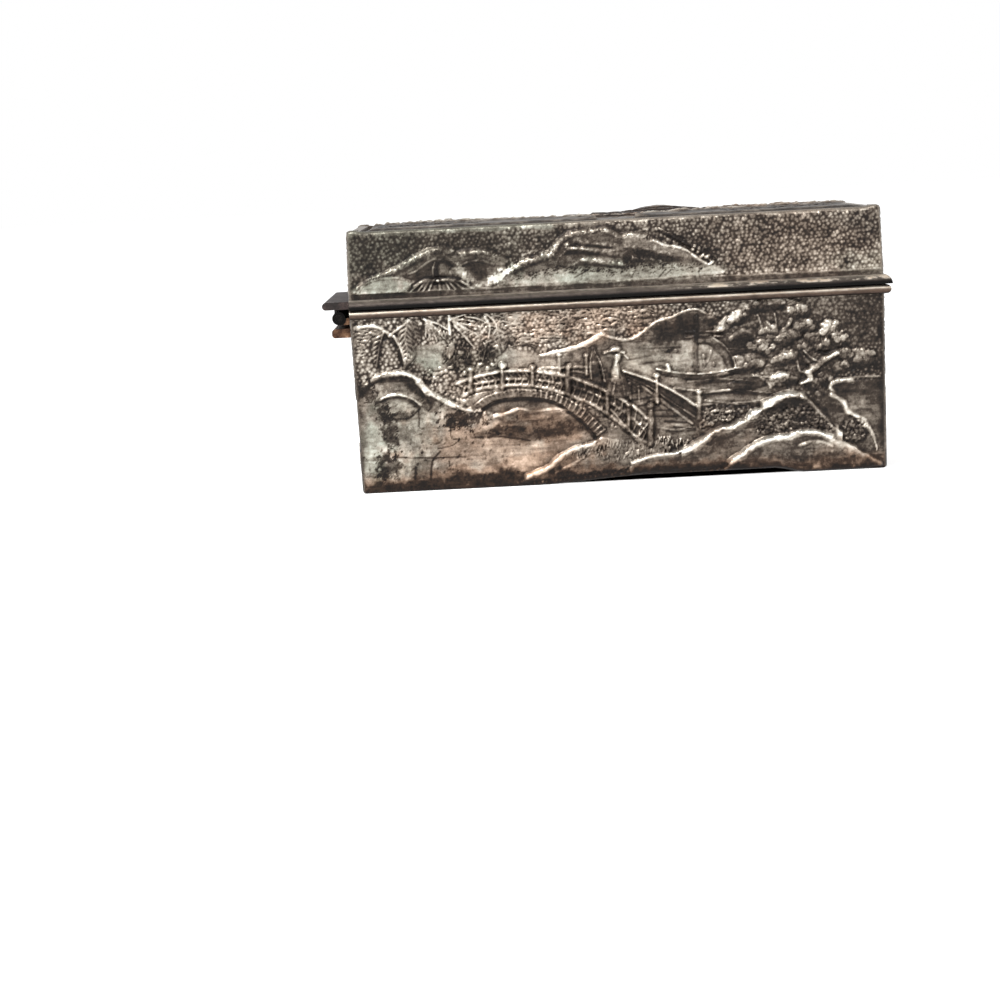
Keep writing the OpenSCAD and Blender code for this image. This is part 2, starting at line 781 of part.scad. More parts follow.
// The hinge end of the lid, notched for the hinge's leaf
module lid_hinge_end_panel() {
    color(metal)
        difference() {
            rotate([0, 0, -90])
                lid_short_panel();
            translate([-box_l / 2 - spare, -hinge_w / 2, lid_z - spare])
                cube([spare + lid_leaf_in, hinge_w, spare + lid_leaf_t]);
        }
}

// The picture on the top: a mountain over pines and a shore
module top_scene() {
    $stretch = [lid_cavity_l / drawn_top_l, lid_cavity_d / drawn_top_d];
    for (step = [0 : 2])
        hill([[-5 + 4 * step, 1 + 2.4 * step], [0.5 + 2 * step, 6 + step], [6.4, 13.4],
            [12 - 1.6 * step, 7 + step], [21 - 4 * step, 1 + 2.4 * step]],
            1 + 2.4 * step, peak_h * (step + 1) / 3);
    hill([[14, -2], [18, 1.6], [23, 3], [28, 2.4], [31.6, 0]], -4, 0.55 * peak_h);
    hill([[-31, -1], [-27, 3.6], [-22, 5], [-17, 2.6], [-12, -1]], -4, 0.4 * peak_h);
    hill([[-31, -9], [-24, -7.6], [-16, -10], [-6, -14]], -17.6, 0.5 * peak_h);
    hill([[6, -15], [14, -11.4], [22, -10], [31, -7.4]], -17.6, 0.5 * peak_h);
    ribbon([[-26, -8.5], [-25, -3], [-21.5, 1], [-22.5, 7]], 0.6 * peak_h, 1.4, 0.6);
    for (p = [[-22.5, 8.4, 8, 2.6], [-18, 4.8, 6, 2.2], [-26, 3.6, 6.4, 2.2], [-19.6, 12, 6, 2.2]])
        pad(p[0], p[1], p[2], p[3], 0.5 * peak_h);
    bank([[-3, -6], [2, -6.8], [7, -6]], [[-1.4, -7.4], [2, -8], [5.6, -7.4]], 0.5 * peak_h);
    ribbon([[2, -7], [2.2, 0]], 0.4 * peak_h);
}

// The top plate lies between the lid's walls, with a groove round its picture
module lid_top_panel() {
    field_l = lid_cavity_l - 2 * groove_w;
    field_d = lid_cavity_d - 2 * groove_w;
    color(metal) {
        translate([0, 0, top_z - groove_drop - top_t / 2])
            cube([lid_cavity_l, lid_cavity_d, top_t], center = true);
        translate([-field_l / 2, -field_d / 2, top_z - groove_drop - top_t])
            cube([field_l, field_d, top_t + groove_drop]);
        translate([0, 0, top_z])
            top_scene();
    }
}

base_front_panel();
base_back_panel();
base_hinge_end_panel();
base_free_end_panel();
base_floor_plate();
base_rim_moulding();
hinge_base_leaf();
hinge_pin();
liner_band();
liner_divider_left();
liner_divider_right();
stamp_floor_left();
stamp_floor_middle();
stamp_floor_right();
lid_top_panel();
lid_front_panel();
lid_back_panel();
lid_hinge_end_panel();
lid_free_end_panel();
lid_rim_moulding();
hinge_lid_leaf();
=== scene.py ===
import math

import bmesh
import bpy
import numpy as np
from mathutils import Matrix, Vector


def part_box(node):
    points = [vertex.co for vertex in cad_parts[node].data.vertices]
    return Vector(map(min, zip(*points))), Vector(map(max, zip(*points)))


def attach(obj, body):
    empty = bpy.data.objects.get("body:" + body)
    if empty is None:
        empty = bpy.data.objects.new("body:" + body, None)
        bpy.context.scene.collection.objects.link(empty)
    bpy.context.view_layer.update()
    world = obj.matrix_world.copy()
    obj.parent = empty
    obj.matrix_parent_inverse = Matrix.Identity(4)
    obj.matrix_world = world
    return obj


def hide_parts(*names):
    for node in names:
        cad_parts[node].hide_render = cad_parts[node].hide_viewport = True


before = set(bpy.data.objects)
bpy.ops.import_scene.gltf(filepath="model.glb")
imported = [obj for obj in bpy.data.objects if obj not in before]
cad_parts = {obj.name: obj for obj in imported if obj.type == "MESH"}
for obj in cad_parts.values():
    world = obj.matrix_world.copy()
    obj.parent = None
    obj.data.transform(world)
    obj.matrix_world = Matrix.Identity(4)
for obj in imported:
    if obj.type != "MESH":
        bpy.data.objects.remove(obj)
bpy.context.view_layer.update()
print("frame loaded")

photo = {"cornerX": 347, "cornerY": 231, "tilt": math.radians(2.9), "pixelsPerMm": 7.6,
         "middle": 266.7, "foot": 264.4}


# Places in the photographed pictures are pixels of the photograph, the others are millimetres
def fromPhoto(points):
    p = np.array(points, float)
    dx, dy = p[:, 0] - photo["cornerX"], p[:, 1] - photo["cornerY"]
    c, s = math.cos(photo["tilt"]), math.sin(photo["tilt"])
    across = (c * dx - s * dy - photo["middle"]) / photo["pixelsPerMm"]
    up = (photo["foot"] - s * dx - c * dy) / photo["pixelsPerMm"]
    return np.stack([across, up], axis=1)


def inMm(points):
    return np.array(points, float)


def smoothLine(points, steps):
    p = np.array(points, float)
    if len(p) < 3:
        return p
    ends = np.vstack([2 * p[0] - p[1], p, 2 * p[-1] - p[-2]])
    line = []
    for i in range(len(p) - 1):
        a, b, c, d = ends[i:i + 4]
        for t in np.arange(steps) / steps:
            line.append((2 * b + (c - a) * t + (2 * a - 5 * b + 4 * c - d) * t ** 2
                         + (3 * b - a - 3 * c + d) * t ** 3) / 2)
    line.append(p[-1])
    return np.array(line)


def ease(low, high, value):
    t = np.clip((value - low) / (high - low), 0, 1)
    return t * t * (3 - 2 * t)


class Relief:
    def __init__(self, width, low, high, pitch, place, seed):
        self.x = np.linspace(-width / 2, width / 2, round(width / pitch) + 1)
        self.z = np.linspace(low, high, round((high - low) / pitch) + 1)
        self.X, self.Z = np.meshgrid(self.x, self.z)
        self.pitch, self.place, self.seed = pitch, place, seed
        self.h = np.zeros(self.X.shape)
        self.ground = np.ones(self.X.shape)
        self.paint = np.zeros(self.X.shape)
        self.copper = np.zeros(self.X.shape)
        self.cool = np.zeros(self.X.shape)
        self.fields = {}

    def window(self, line, reach):
        c = np.searchsorted(self.x, [line[:, 0].min() - reach, line[:, 0].max() + reach])
        r = np.searchsorted(self.z, [line[:, 1].min() - reach, line[:, 1].max() + reach])
        return np.s_[r[0]:r[1], c[0]:c[1]]

    # Distance to a line, the share of the way along it and its length
    def near(self, line, reach):
        win = self.window(line, reach)
        X, Z = self.X[win], self.Z[win]
        best = np.full(X.shape, 1e9)
        along = np.zeros(X.shape)
        side = np.zeros(X.shape)
        total = 0
        for a, b in zip(line[:-1], line[1:]):
            ab = b - a
            l = math.hypot(*ab)
            if l < 1e-6:
                continue
            t = np.clip(((X - a[0]) * ab[0] + (Z - a[1]) * ab[1]) / l ** 2, 0, 1)
            dx, dz = X - a[0] - t * ab[0], Z - a[1] - t * ab[1]
            d = dx * dx + dz * dz
            m = d < best
            best[m] = d[m]
            along[m] = total + (t * l)[m]
            side[m] = np.sign(ab[0] * dz - ab[1] * dx)[m]
            total += l
        return win, np.sqrt(best), along / max(total, 1e-6), side, total

    def noise(self, scale, seed, stretch=1):
        key = (scale, seed, stretch)
        if key in self.fields:
            return self.fields[key]
        rng = np.random.default_rng(seed + 101 * self.seed)
        fx = (self.x - self.x[0]) / (scale * stretch) + 1
        fz = (self.z - self.z[0]) / scale + 1
        coarse = rng.standard_normal((int(fz[-1]) + 3, int(fx[-1]) + 3))
        ix, iz = fx.astype(int), fz.astype(int)
        tx = ease(0, 1, fx - ix)
        tz = ease(0, 1, fz - iz)[:, None]
        rows = coarse[:, ix] * (1 - tx) + coarse[:, ix + 1] * tx
        self.fields[key] = rows[iz] * (1 - tz) + rows[iz + 1] * tz
        return self.fields[key]

    def blur(self, field, mm):
        n = int(2.6 * mm / self.pitch) + 1
        k = np.exp(-0.5 * (np.arange(-n, n + 1) * self.pitch / mm) ** 2)
        k /= k.sum()
        rows, cols = field.shape
        p = np.pad(field, n, mode="edge")
        p = sum(w * p[:, i:i + cols] for i, w in enumerate(k))
        return sum(w * p[i:i + rows] for i, w in enumerate(k))

    def lay(self, win, mask, height, ground=0, tone=0):
        self.h[win] = np.where(mask, np.maximum(self.h[win], height), self.h[win])
        self.ground[win] = np.where(mask, ground, self.ground[win])
        self.paint[win] += np.where(mask, tone, 0)

    # A bank that falls away below its crest, down to a foot line
    def hill(self, ridge, foot, crest, body, fall=0.9, lip=0.3, tone=0, ground=0, replace=True):
        line = smoothLine(self.place(ridge), 8)
        line = line[np.argsort(line[:, 0])]
        top = np.interp(self.x, line[:, 0], line[:, 1], left=-99, right=-99)[None, :] + 0.09 * self.noise(0.8, 65)
        low = self.place(foot)
        base = np.interp(self.x, low[:, 0], low[:, 1])[None, :]
        d = top - self.Z
        mask = (d > 0) & (self.Z > base)
        d = np.clip(d, 0, None)
        shape = body + (crest - body) * np.exp(-(d / fall) ** 1.5)
        shape = shape * np.sqrt(np.clip(1 - (np.clip(lip - d, 0, None) / lip) ** 2, 0.05, 1))
        self.h = np.where(mask, shape if replace else np.maximum(shape, self.h), self.h)
        self.ground = np.where(mask, ground, self.ground)
        self.paint = np.where(mask, tone, self.paint)

    # A smooth area inside a closed outline
    def flat(self, outline, height, tone=0, ground=0, soft=0.3):
        line = smoothLine(self.place(list(outline) + [outline[0]]), 4)
        win, d, t, side, total = self.near(line, soft)
        X, Z = self.X[win], self.Z[win]
        inside = np.zeros(X.shape, bool)
        for a, b in zip(line[:-1], line[1:]):
            cross = (a[1] > Z) != (b[1] > Z)
            inside ^= cross & (X < (b[0] - a[0]) * (Z - a[1]) / (b[1] - a[1] + 1e-12) + a[0])
        m = ease(-soft, soft, np.where(inside, d, -d))
        self.h[win] = self.h[win] * (1 - m) + height * m
        self.ground[win] = self.ground[win] * (1 - m) + ground * m
        self.paint[win] = self.paint[win] * (1 - m) + tone * m

    # A raised line with an uneven width and crest
    def ribbon(self, points, width, height, end=None, over=0, sharp=0.7, ribs=0, rib=0.35, tone=0, edge=0.1,
               uneven=1, raw=False):
        line = smoothLine(points if raw else self.place(points), 5)
        end = width if end is None else end
        win, d, t, side, total = self.near(line, max(width, end) + 0.4)
        w = (width + (end - width) * t) / 2 * (1 + 0.16 * uneven * self.noise(0.9, 61)[win])
        r = d / np.maximum(w, 0.08)
        shape = np.clip(1 - r * r, 0, 1) ** sharp * (1 + uneven * (0.14 * self.noise(0.5, 62) + 0.08 * self.noise(0.25, 63))[win])
        if ribs:
            shape = shape * (1 - rib * (0.5 + 0.5 * np.cos(2 * np.pi * ribs * t * total)))
        self.h[win] -= edge * np.exp(-((d - w) / 0.13) ** 2) * (r > 1) * (1 + 0.4 * self.noise(0.6, 64)[win])
        self.lay(win, r < 1, over + height * shape, tone=tone * (0.4 + 0.85 * shape))

    def groove(self, points, width, depth, end=None, tone=-0.25, raw=False):
        line = smoothLine(points if raw else self.place(points), 5)
        end = width if end is None else end
        win, d, t, side, total = self.near(line, max(width, end) * 1.5)
        shape = np.exp(-1.5 * (d * 2 / (width + (end - width) * t)) ** 2)
        self.h[win] -= depth * shape
        self.paint[win] += tone * shape

    # A leaf with slanting leaflets on both sides of its rib
    def leaf(self, points, width, height, over=0, veins=1.5, slant=1.0, tone=0, sides=(1, 1)):
        line = smoothLine(self.place(points), 8)
        win, d, t, side, total = self.near(line, width)
        w = width / 2 * np.sin(np.pi * t ** 0.7) ** 0.7 + 0.05
        r = d / w
        allowed = np.where(side > 0, sides[0], sides[1]) * (t > 0) * (t < 1)
        wave = 0.5 + 0.5 * np.cos(2 * np.pi * veins * (t * total - slant * d))
        shape = np.maximum((0.15 + 0.85 * wave) * np.clip(1 - r ** 3, 0, 1) ** 0.5, np.exp(-(d / 0.13) ** 2))
        self.h[win] -= 0.12 * np.exp(-((d - w) / 0.16) ** 2) * (r > 1) * allowed
        self.lay(win, (r < 1) & (allowed > 0), over + height * shape, tone=tone)

    # A rounded clump with half axes in millimetres
    def dome(self, at, size, height, turn=0, over=0, ribs=0, rib=0.3, tone=0, flat=0.5, raw=False):
        c = np.array(at) if raw else self.place([at])[0]
        win = self.window(c[None, :], max(size) * 1.4)
        dx, dz = self.X[win] - c[0], self.Z[win] - c[1]
        ca, sa = math.cos(math.radians(turn)), math.sin(math.radians(turn))
        u, v = (dx * ca + dz * sa) / size[0], (dz * ca - dx * sa) / size[1]
        r = np.hypot(u, v) + 0.1 * self.noise(0.45, 66)[win]
        shape = np.clip(1 - r * r, 0, 1) ** flat
        if ribs:
            shape = shape * (1 - rib * (0.5 + 0.5 * np.cos(2 * np.pi * ribs * size[0] * (u + 0.35 * v * v))))
        self.h[win] -= 0.12 * np.exp(-((r - 1.05) * min(size) / 0.13) ** 2) * (r > 1)
        self.lay(win, r < 1, over + height * shape, tone=tone)

    # A bush or a pad of needles made of many small domes
    def cluster(self, at, spread, count, size, height, over=0, turn=0, tone=0, seed=0):
        rng = np.random.default_rng(seed + int(abs(at[0] * 7 + at[1] * 3)))
        c = self.place([at])[0]
        ca, sa = math.cos(math.radians(turn)), math.sin(math.radians(turn))
        for i in range(count):
            a, q = rng.uniform(0, 2 * math.pi), math.sqrt(rng.uniform(0, 1))
            u, v = math.cos(a) * spread[0] * q, math.sin(a) * spread[1] * q
            s = size * rng.uniform(0.7, 1.3)
            rise = height * (1 - 0.55 * q * q) * rng.uniform(0.75, 1.1)
            self.dome(c + [u * ca - v * sa, u * sa + v * ca], (s, s * rng.uniform(0.75, 1)), rise,
                      over=over, turn=rng.uniform(-40, 40), tone=tone, flat=0.6, raw=True)

    # A stain, a bright spot or a tint with a ragged edge
    def patch(self, at, size, amount, turn=0, ragged=0.5, scale=0.9, edge=0.3, channel="paint"):
        c = self.place([at])[0]
        win = self.window(c[None, :], max(size) * 1.7)
        dx, dz = self.X[win] - c[0], self.Z[win] - c[1]
        ca, sa = math.cos(math.radians(turn)), math.sin(math.radians(turn))
        r = np.hypot((dx * ca + dz * sa) / size[0], (dz * ca - dx * sa) / size[1])
        r = r + ragged * (0.5 * self.noise(scale, 31) + 0.35 * self.noise(scale / 3, 32))[win]
        getattr(self, channel)[win] += amount * (1 - ease(1 - edge, 1 + edge, r))

    # The shagreen-like ground of small round bumps on a jittered net
    def pebbles(self, pitch, height, size=0.5, jitter=0.3, contrast=0.4):
        rng = np.random.default_rng(7 + self.seed)
        row = pitch * 0.866
        nx = int((self.x[-1] - self.x[0]) / pitch) + 6
        nz = int((self.z[-1] - self.z[0]) / row) + 6
        jx, jz = rng.uniform(-jitter, jitter, (2, nz, nx)) * pitch
        grow = rng.uniform(0.75, 1.25, (nz, nx))
        rise = rng.uniform(0.7, 1.1, (nz, nx))
        j0 = np.round((self.Z - self.z[0]) / row + 2).astype(int)
        u = (self.X - self.x[0]) / pitch + 2
        best = np.full(self.X.shape, 9.0)
        top = np.ones(self.X.shape)
        for dj in (-1, 0, 1):
            j = np.clip(j0 + dj, 0, nz - 1)
            i0 = np.round(u - 0.5 * (j % 2)).astype(int)
            for di in (-1, 0, 1):
                i = np.clip(i0 + di, 0, nx - 1)
                cx = (i + 0.5 * (j % 2) - 2) * pitch + self.x[0] + jx[j, i]
                cz = (j - 2) * row + self.z[0] + jz[j, i]
                d = np.hypot(self.X - cx, self.Z - cz) / (size * pitch * grow[j, i])
                m = d < best
                best = np.where(m, d, best)
                top = np.where(m, rise[j, i], top)
        bump = top * np.clip(1 - best * best, 0, 1)
        self.h += height * bump ** 0.7 * self.ground
        # Each bump's top is painted lighter and the gaps darker: dark patina in the gaps and a painted highlight on
        # each top
        self.paint += contrast * (bump ** 1.6 - 0.3) * self.ground

    # Calm rims, so that the narrow faces behind them aren't striped
    def calmRims(self, inset, tone):
        edge = ease(0.45, 0.1, inset)
        self.tone = self.tone * (1 - edge) + (tone + 0.05 * self.noise(2.2, 73)) * edge

    # The tone: patina dark in hollows and bright on worn crests, plus painted light and shade by slope, lighter where
    # the surface faces up and to the left and darker under ledges
    def finish(self, base=0.4, fine=1.35, broad=0.5, slope=0.13, grain=0.07):
        self.h = np.clip(self.h, -0.22, None)
        self.h += (0.014 * self.noise(0.9, 71) + 0.012 * self.noise(0.35, 72)) * (1 - 0.6 * self.ground)
        self.h = 0.6 * self.h + 0.4 * self.blur(self.h, 0.13)
        near, far = self.blur(self.h, 0.38), self.blur(self.h, 1.2)
        tone = base + fine * (self.h - near) + broad * (near - far) + self.paint
        down, left = np.gradient(self.h, self.pitch)
        # Painted light and shade: slopes facing up and to the left are painted lighter, slopes facing down darker
        tone += slope * np.clip(0.35 * left - down, -0.9, 0.9)
        for scale, seed, share in ((2.6, 5, 0.8), (0.8, 6, 0.8), (0.3, 7, 0.8)):
            tone += grain * share * self.noise(scale, seed)
        tone += 0.05 * self.noise(0.22, 8, 7) * (1 - self.ground)
        self.tone = np.clip(tone, 0, 1)
        self.copper = np.clip(self.copper, 0, 1)
        self.cool = np.clip(self.cool, -1, 1)


def spaced(r, points, count):
    line = smoothLine(r.place(points), 12)
    s = np.concatenate([[0], np.cumsum(np.hypot(*np.diff(line, axis=0).T))])
    at = np.linspace(0, s[-1], count)
    return np.stack([np.interp(at, s, line[:, 0]), np.interp(at, s, line[:, 1])], axis=1)


# Short bars or cuts from one line to another
def between(r, upper, lower, count, draw, **how):
    for a, b in zip(spaced(r, upper, count), spaced(r, lower, count)):
        draw(np.array([a, b]), raw=True, **how)


def carveFarShore(r):
    r.flat([(497, 352), (522, 360), (560, 350), (602, 334), (634, 342), (700, 316), (722, 322), (737, 346), (742, 372),
            (800, 396), (770, 412), (742, 424), (704, 440), (664, 446), (640, 412), (600, 376), (540, 367), (500, 368)],
           0.04, tone=0.1, soft=0.25)
    r.hill([(505, 366), (522, 360), (539, 356), (559, 351), (578, 347), (593, 340), (604, 333), (616, 329)],
           [(500, 368), (530, 367), (620, 368)], 0.28, 0.1, fall=0.6, tone=0.04)
    r.ribbon([(515, 362), (539, 356), (559, 351), (578, 347), (593, 340), (603, 333)], 0.3, 0.3, end=0.75, tone=0.25)
    r.hill([(618, 340), (632, 339), (645, 332), (657, 322), (673, 317), (686, 311), (697, 309), (705, 312), (722, 320)],
           [(618, 343), (645, 343), (656, 344), (690, 340), (722, 326)], 0.36, 0.12, fall=0.45, tone=-0.1)
    r.ribbon([(602, 334), (611, 337.5), (622, 340), (634, 339), (645, 332), (657, 322), (673, 317), (686, 311), (697, 309),
              (706, 313)], 0.45, 0.4, tone=0.12)
    r.patch((674, 331), (2.6, 1.5), -0.22, turn=18, ragged=0.5)
    r.patch((722, 322), (2.2, 0.8), -0.25, turn=-8)
    r.patch((690, 341), (3.2, 0.5), 0.1)
    r.ribbon([(634, 350), (664, 349), (693, 348)], 0.18, 0.1, tone=-0.15)
    for x, y, w in ((678, 352, 1.3), (688, 354, 1.0), (668, 351, 0.8)):
        r.dome((x, y), (w, 0.35), 0.12, tone=-0.28)
    for line in ([(631, 361), (652, 357)], [(640, 366), (668, 362)], [(604, 372), (618, 368)]):
        r.groove(line, 0.3, 0.06, tone=-0.2)
    r.patch((645, 372), (2.4, 0.7), 0.14, turn=-20)
    r.patch((720, 357), (1.6, 0.8), 0.12)
    # Ripples and a dark reef under the boat
    r.dome((750, 387), (2.9, 0.8), 0.2, turn=6, tone=-0.26, flat=0.6)
    r.ribbon([(764, 380), (770, 383), (774, 390)], 0.5, 0.26, tone=0.2)
    for y, x0, x1, bow in ((384, 690, 752, 3), (391, 676, 748, -3), (397, 700, 778, 4), (404, 708, 768, -2),
                           (409, 694, 752, 2), (415, 712, 746, 0), (421, 664, 700, 0), (432, 662, 694, -2)):
        r.ribbon([(x0, y), ((x0 + x1) / 2, y - bow), (x1, y - 1)], 0.34, 0.16, end=0.15, edge=0.12, tone=0.06)
        r.groove([(x0 + 8, y + 3.4), ((x0 + x1) / 2, y + 3 - bow), (x1 + 4, y + 2)], 0.75, 0.05, end=0.4, tone=-0.26)
    for x, y in ((729, 374), (700, 393), (766, 402), (719, 400), (684, 427)):
        r.patch((x, y), (1.6, 0.4), 0.16, turn=10, scale=0.5)


def carveBoat(r):
    for x, y, w in ((676, 371, 0.5), (684, 373, 0.6), (693, 372, 0.5), (706, 371, 0.6), (715, 369, 0.7), (722, 366, 0.5)):
        r.dome((x, y), (w * 0.8, 0.4), 0.2, tone=-0.16)
    r.ribbon([(662, 372), (680, 377), (700, 379), (720, 377), (738, 373)], 0.85, 0.34, end=0.7, tone=-0.34, edge=0.2)
    r.ribbon([(658, 371), (675, 374), (697, 376), (720, 374), (742, 369)], 0.3, 0.5, end=0.26, tone=0.22)
    r.flat([(700, 342), (712, 347), (722, 358), (727, 371), (700, 373)], 0.1, tone=0.24, soft=0.2)
    r.flat([(684, 345), (696, 343), (696, 372), (676, 370)], 0.08, tone=0.2, soft=0.3)
    r.ribbon([(697.7, 317), (697.7, 346), (698, 374)], 0.6, 0.36, tone=-0.34, edge=0.2)
    r.ribbon([(687, 333), (704, 332.5), (722, 332)], 0.4, 0.34, tone=-0.28, edge=0.16)
    r.ribbon([(686, 338.5), (704, 338), (724, 337)], 0.4, 0.36, tone=-0.24, edge=0.16)
    r.ribbon([(699, 339), (713, 342), (724, 350), (731, 362), (733, 371)], 1.5, 0.4, end=1.2, tone=-0.34, ribs=0.9,
             rib=0.15, edge=0.16)
    r.ribbon([(712, 337), (726, 347), (735, 360), (738, 369)], 0.25, 0.34, end=0.3, tone=0.16)
    r.ribbon([(713, 352), (711, 360), (706, 369)], 0.3, 0.3, end=0.2, tone=-0.05)
    r.dome((705.5, 358), (0.3, 0.4), 0.3, tone=-0.1)
    r.ribbon([(669, 367), (671, 372)], 0.5, 0.4, tone=0.3)
    r.dome((706, 364), (0.3, 0.6), 0.3, turn=10, tone=-0.26)
    r.dome((716, 366), (0.25, 0.4), 0.26, tone=-0.2)


def carvePines(r):
    r.flat([(722, 330), (730, 306), (760, 297), (800, 300), (812, 318), (816, 332), (838, 316), (852, 338), (850, 350),
            (836, 362), (846, 378), (828, 392), (796, 388), (770, 384), (762, 372), (736, 374), (756, 350), (752, 330),
            (738, 330)], 0.1, tone=0, ground=0.5, soft=0.5)
    # The dark rock behind the sail, with a broken bright edge
    r.flat([(728, 342), (736, 334), (748, 333), (757, 342), (750, 352), (742, 362), (734, 368), (731, 354)], 0.14, tone=-0.24)
    r.ribbon([(732, 341), (738, 335), (746, 332)], 0.5, 0.2, end=0.9, tone=0.1, uneven=2)
    r.ribbon([(750, 333), (757, 337), (757, 345)], 0.8, 0.2, end=0.5, tone=0.06, uneven=2)
    r.ribbon([(729, 349.5), (744, 350), (758, 348.5)], 0.2, 0.2, tone=0.12)
    for line, w in (([(759, 315), (762, 324), (766, 334)], 0.35), ([(776, 314), (779, 330)], 0.35),
                    ([(793, 319), (788, 328), (780, 334)], 0.6), ([(768, 322), (776, 330)], 0.3),
                    ([(803, 352), (812, 362), (816, 370)], 0.35), ([(788, 374), (798, 378)], 0.3),
                    ([(756, 378), (778, 380)], 0.3), ([(800, 361), (803, 371), (811, 372)], 0.35)):
        r.ribbon(line, w, 0.36, tone=0.1)
    # Pads of needles: place, half axes in pixels, turn, height and tone
    pads = ((766, 304, 13, 7, 0, 0.42, -0.2), (752, 307, 9, 6, 10, 0.38, -0.16), (782, 302, 14, 6, -4, 0.42, -0.2),
            (744, 315, 9, 7, 35, 0.45, -0.14), (728, 323, 13, 6, 35, 0.5, -0.06), (738, 318, 9, 6, 35, 0.46, -0.1),
            (798, 309, 11, 7, 0, 0.55, -0.04), (770, 331, 10, 7, 10, 0.46, -0.12), (788, 338, 17, 7, 22, 0.55, -0.14),
            (762, 347, 12, 8, 25, 0.5, -0.1), (806, 347, 9, 8, 0, 0.46, -0.14), (824, 343, 9, 8, 0, 0.5, -0.14),
            (815, 337, 8, 6, 0, 0.42, -0.16), (832, 327, 9, 8.5, 10, 0.6, 0.02), (843, 339, 7.5, 7, 0, 0.55, -0.08),
            (786, 358, 13, 7, 15, 0.5, -0.12), (750, 365, 15, 9, 8, 0.55, -0.16), (739, 369, 9, 6, 10, 0.45, -0.12),
            (861, 357, 14, 9, 0, 0.5, -0.18), (849, 353, 7, 6, 0, 0.48, -0.14), (794, 378, 9, 7, 10, 0.4, -0.22),
            (782, 381, 10, 7, 18, 0.55, -0.08), (818, 383, 8, 7, -20, 0.45, -0.2), (830, 378, 8, 6, 0, 0.4, -0.18),
            (827, 396, 8, 8, -30, 0.42, -0.2), (818, 358, 9, 7, 0, 0.4, -0.16), (806, 325, 9, 7, 0, 0.4, -0.16),
            (846, 366, 9, 6, 10, 0.42, -0.16), (775, 350, 9, 6, 20, 0.44, -0.14))
    rng = np.random.default_rng(13)
    for x, y, w, h, turn, high, tone in pads:
        w, h = 1.22 * w / photo["pixelsPerMm"], 1.18 * h / photo["pixelsPerMm"]
        tone += 0.14
        r.dome((x, y), (w, h), high, turn=turn, ribs=3, rib=0.3, tone=tone, flat=0.75)
        ca, sa = math.cos(math.radians(turn)), math.sin(math.radians(turn))
        for k in range(6):
            u, v = 7.6 * w * rng.uniform(-0.75, 0.75), 7.6 * h * rng.uniform(-0.35, 0.5)
            r.dome((x + u * ca - v * sa, y - u * sa - v * ca), (w * rng.uniform(0.2, 0.42), h * rng.uniform(0.3, 0.5)),
                   high * rng.uniform(0.12, 0.26), turn=turn + rng.uniform(-30, 30), over=high * 0.6, ribs=3.6, rib=0.4,
                   tone=rng.uniform(-0.06, 0.12), flat=0.8)
        # A painted highlight on each pad's upper left side and a painted shade on its lower right side
        r.patch((x - 1.6 * w, y - 3.4 * h), (w * 0.6, h * 0.4), 0.14, turn=turn, ragged=0.6, scale=0.35, edge=0.6)
        r.patch((x + 1.4 * w, y + 4.6 * h), (w * 0.8, h * 0.4), -0.16, turn=turn, ragged=0.4, scale=0.5, edge=0.6)
    crown = ease(712, 740, r.X * 7.6 + 613) * ease(0.3, 0.45, r.h)
    r.paint += crown * ease(11.5, 13, r.Z) * (0.16 * np.clip(r.noise(0.19, 93, 0.6), 0, 2) - 0.03)
    r.ribbon([(840, 352), (828, 359), (818, 367), (811, 372)], 0.8, 0.72, end=1.2, tone=0.12)
    r.ribbon([(811, 372), (814, 378), (804, 383)], 1.2, 0.7, end=0.6, tone=0.08)
    r.ribbon([(822, 362), (812, 356), (806, 350)], 0.45, 0.6, end=0.25, tone=0.08)
    r.dome((783, 377), (0.9, 0.45), 0.66, turn=18, tone=0.2)
    # The dark slab and its bright nose at the right edge
    r.flat([(836, 385), (842, 382), (860, 380), (886, 381), (888, 396), (850, 396), (838, 391)], 0.34, tone=-0.24)
    r.ribbon([(856, 380.5), (846, 380), (836, 383), (834, 388), (840, 393)], 0.8, 0.5, end=0.6, tone=0.24)
    r.ribbon([(846, 379), (862, 376.5), (884, 376)], 0.4, 0.3, tone=0.08)
    r.dome((860, 397.5), (1.7, 0.45), 0.3, turn=-8, tone=0.24)


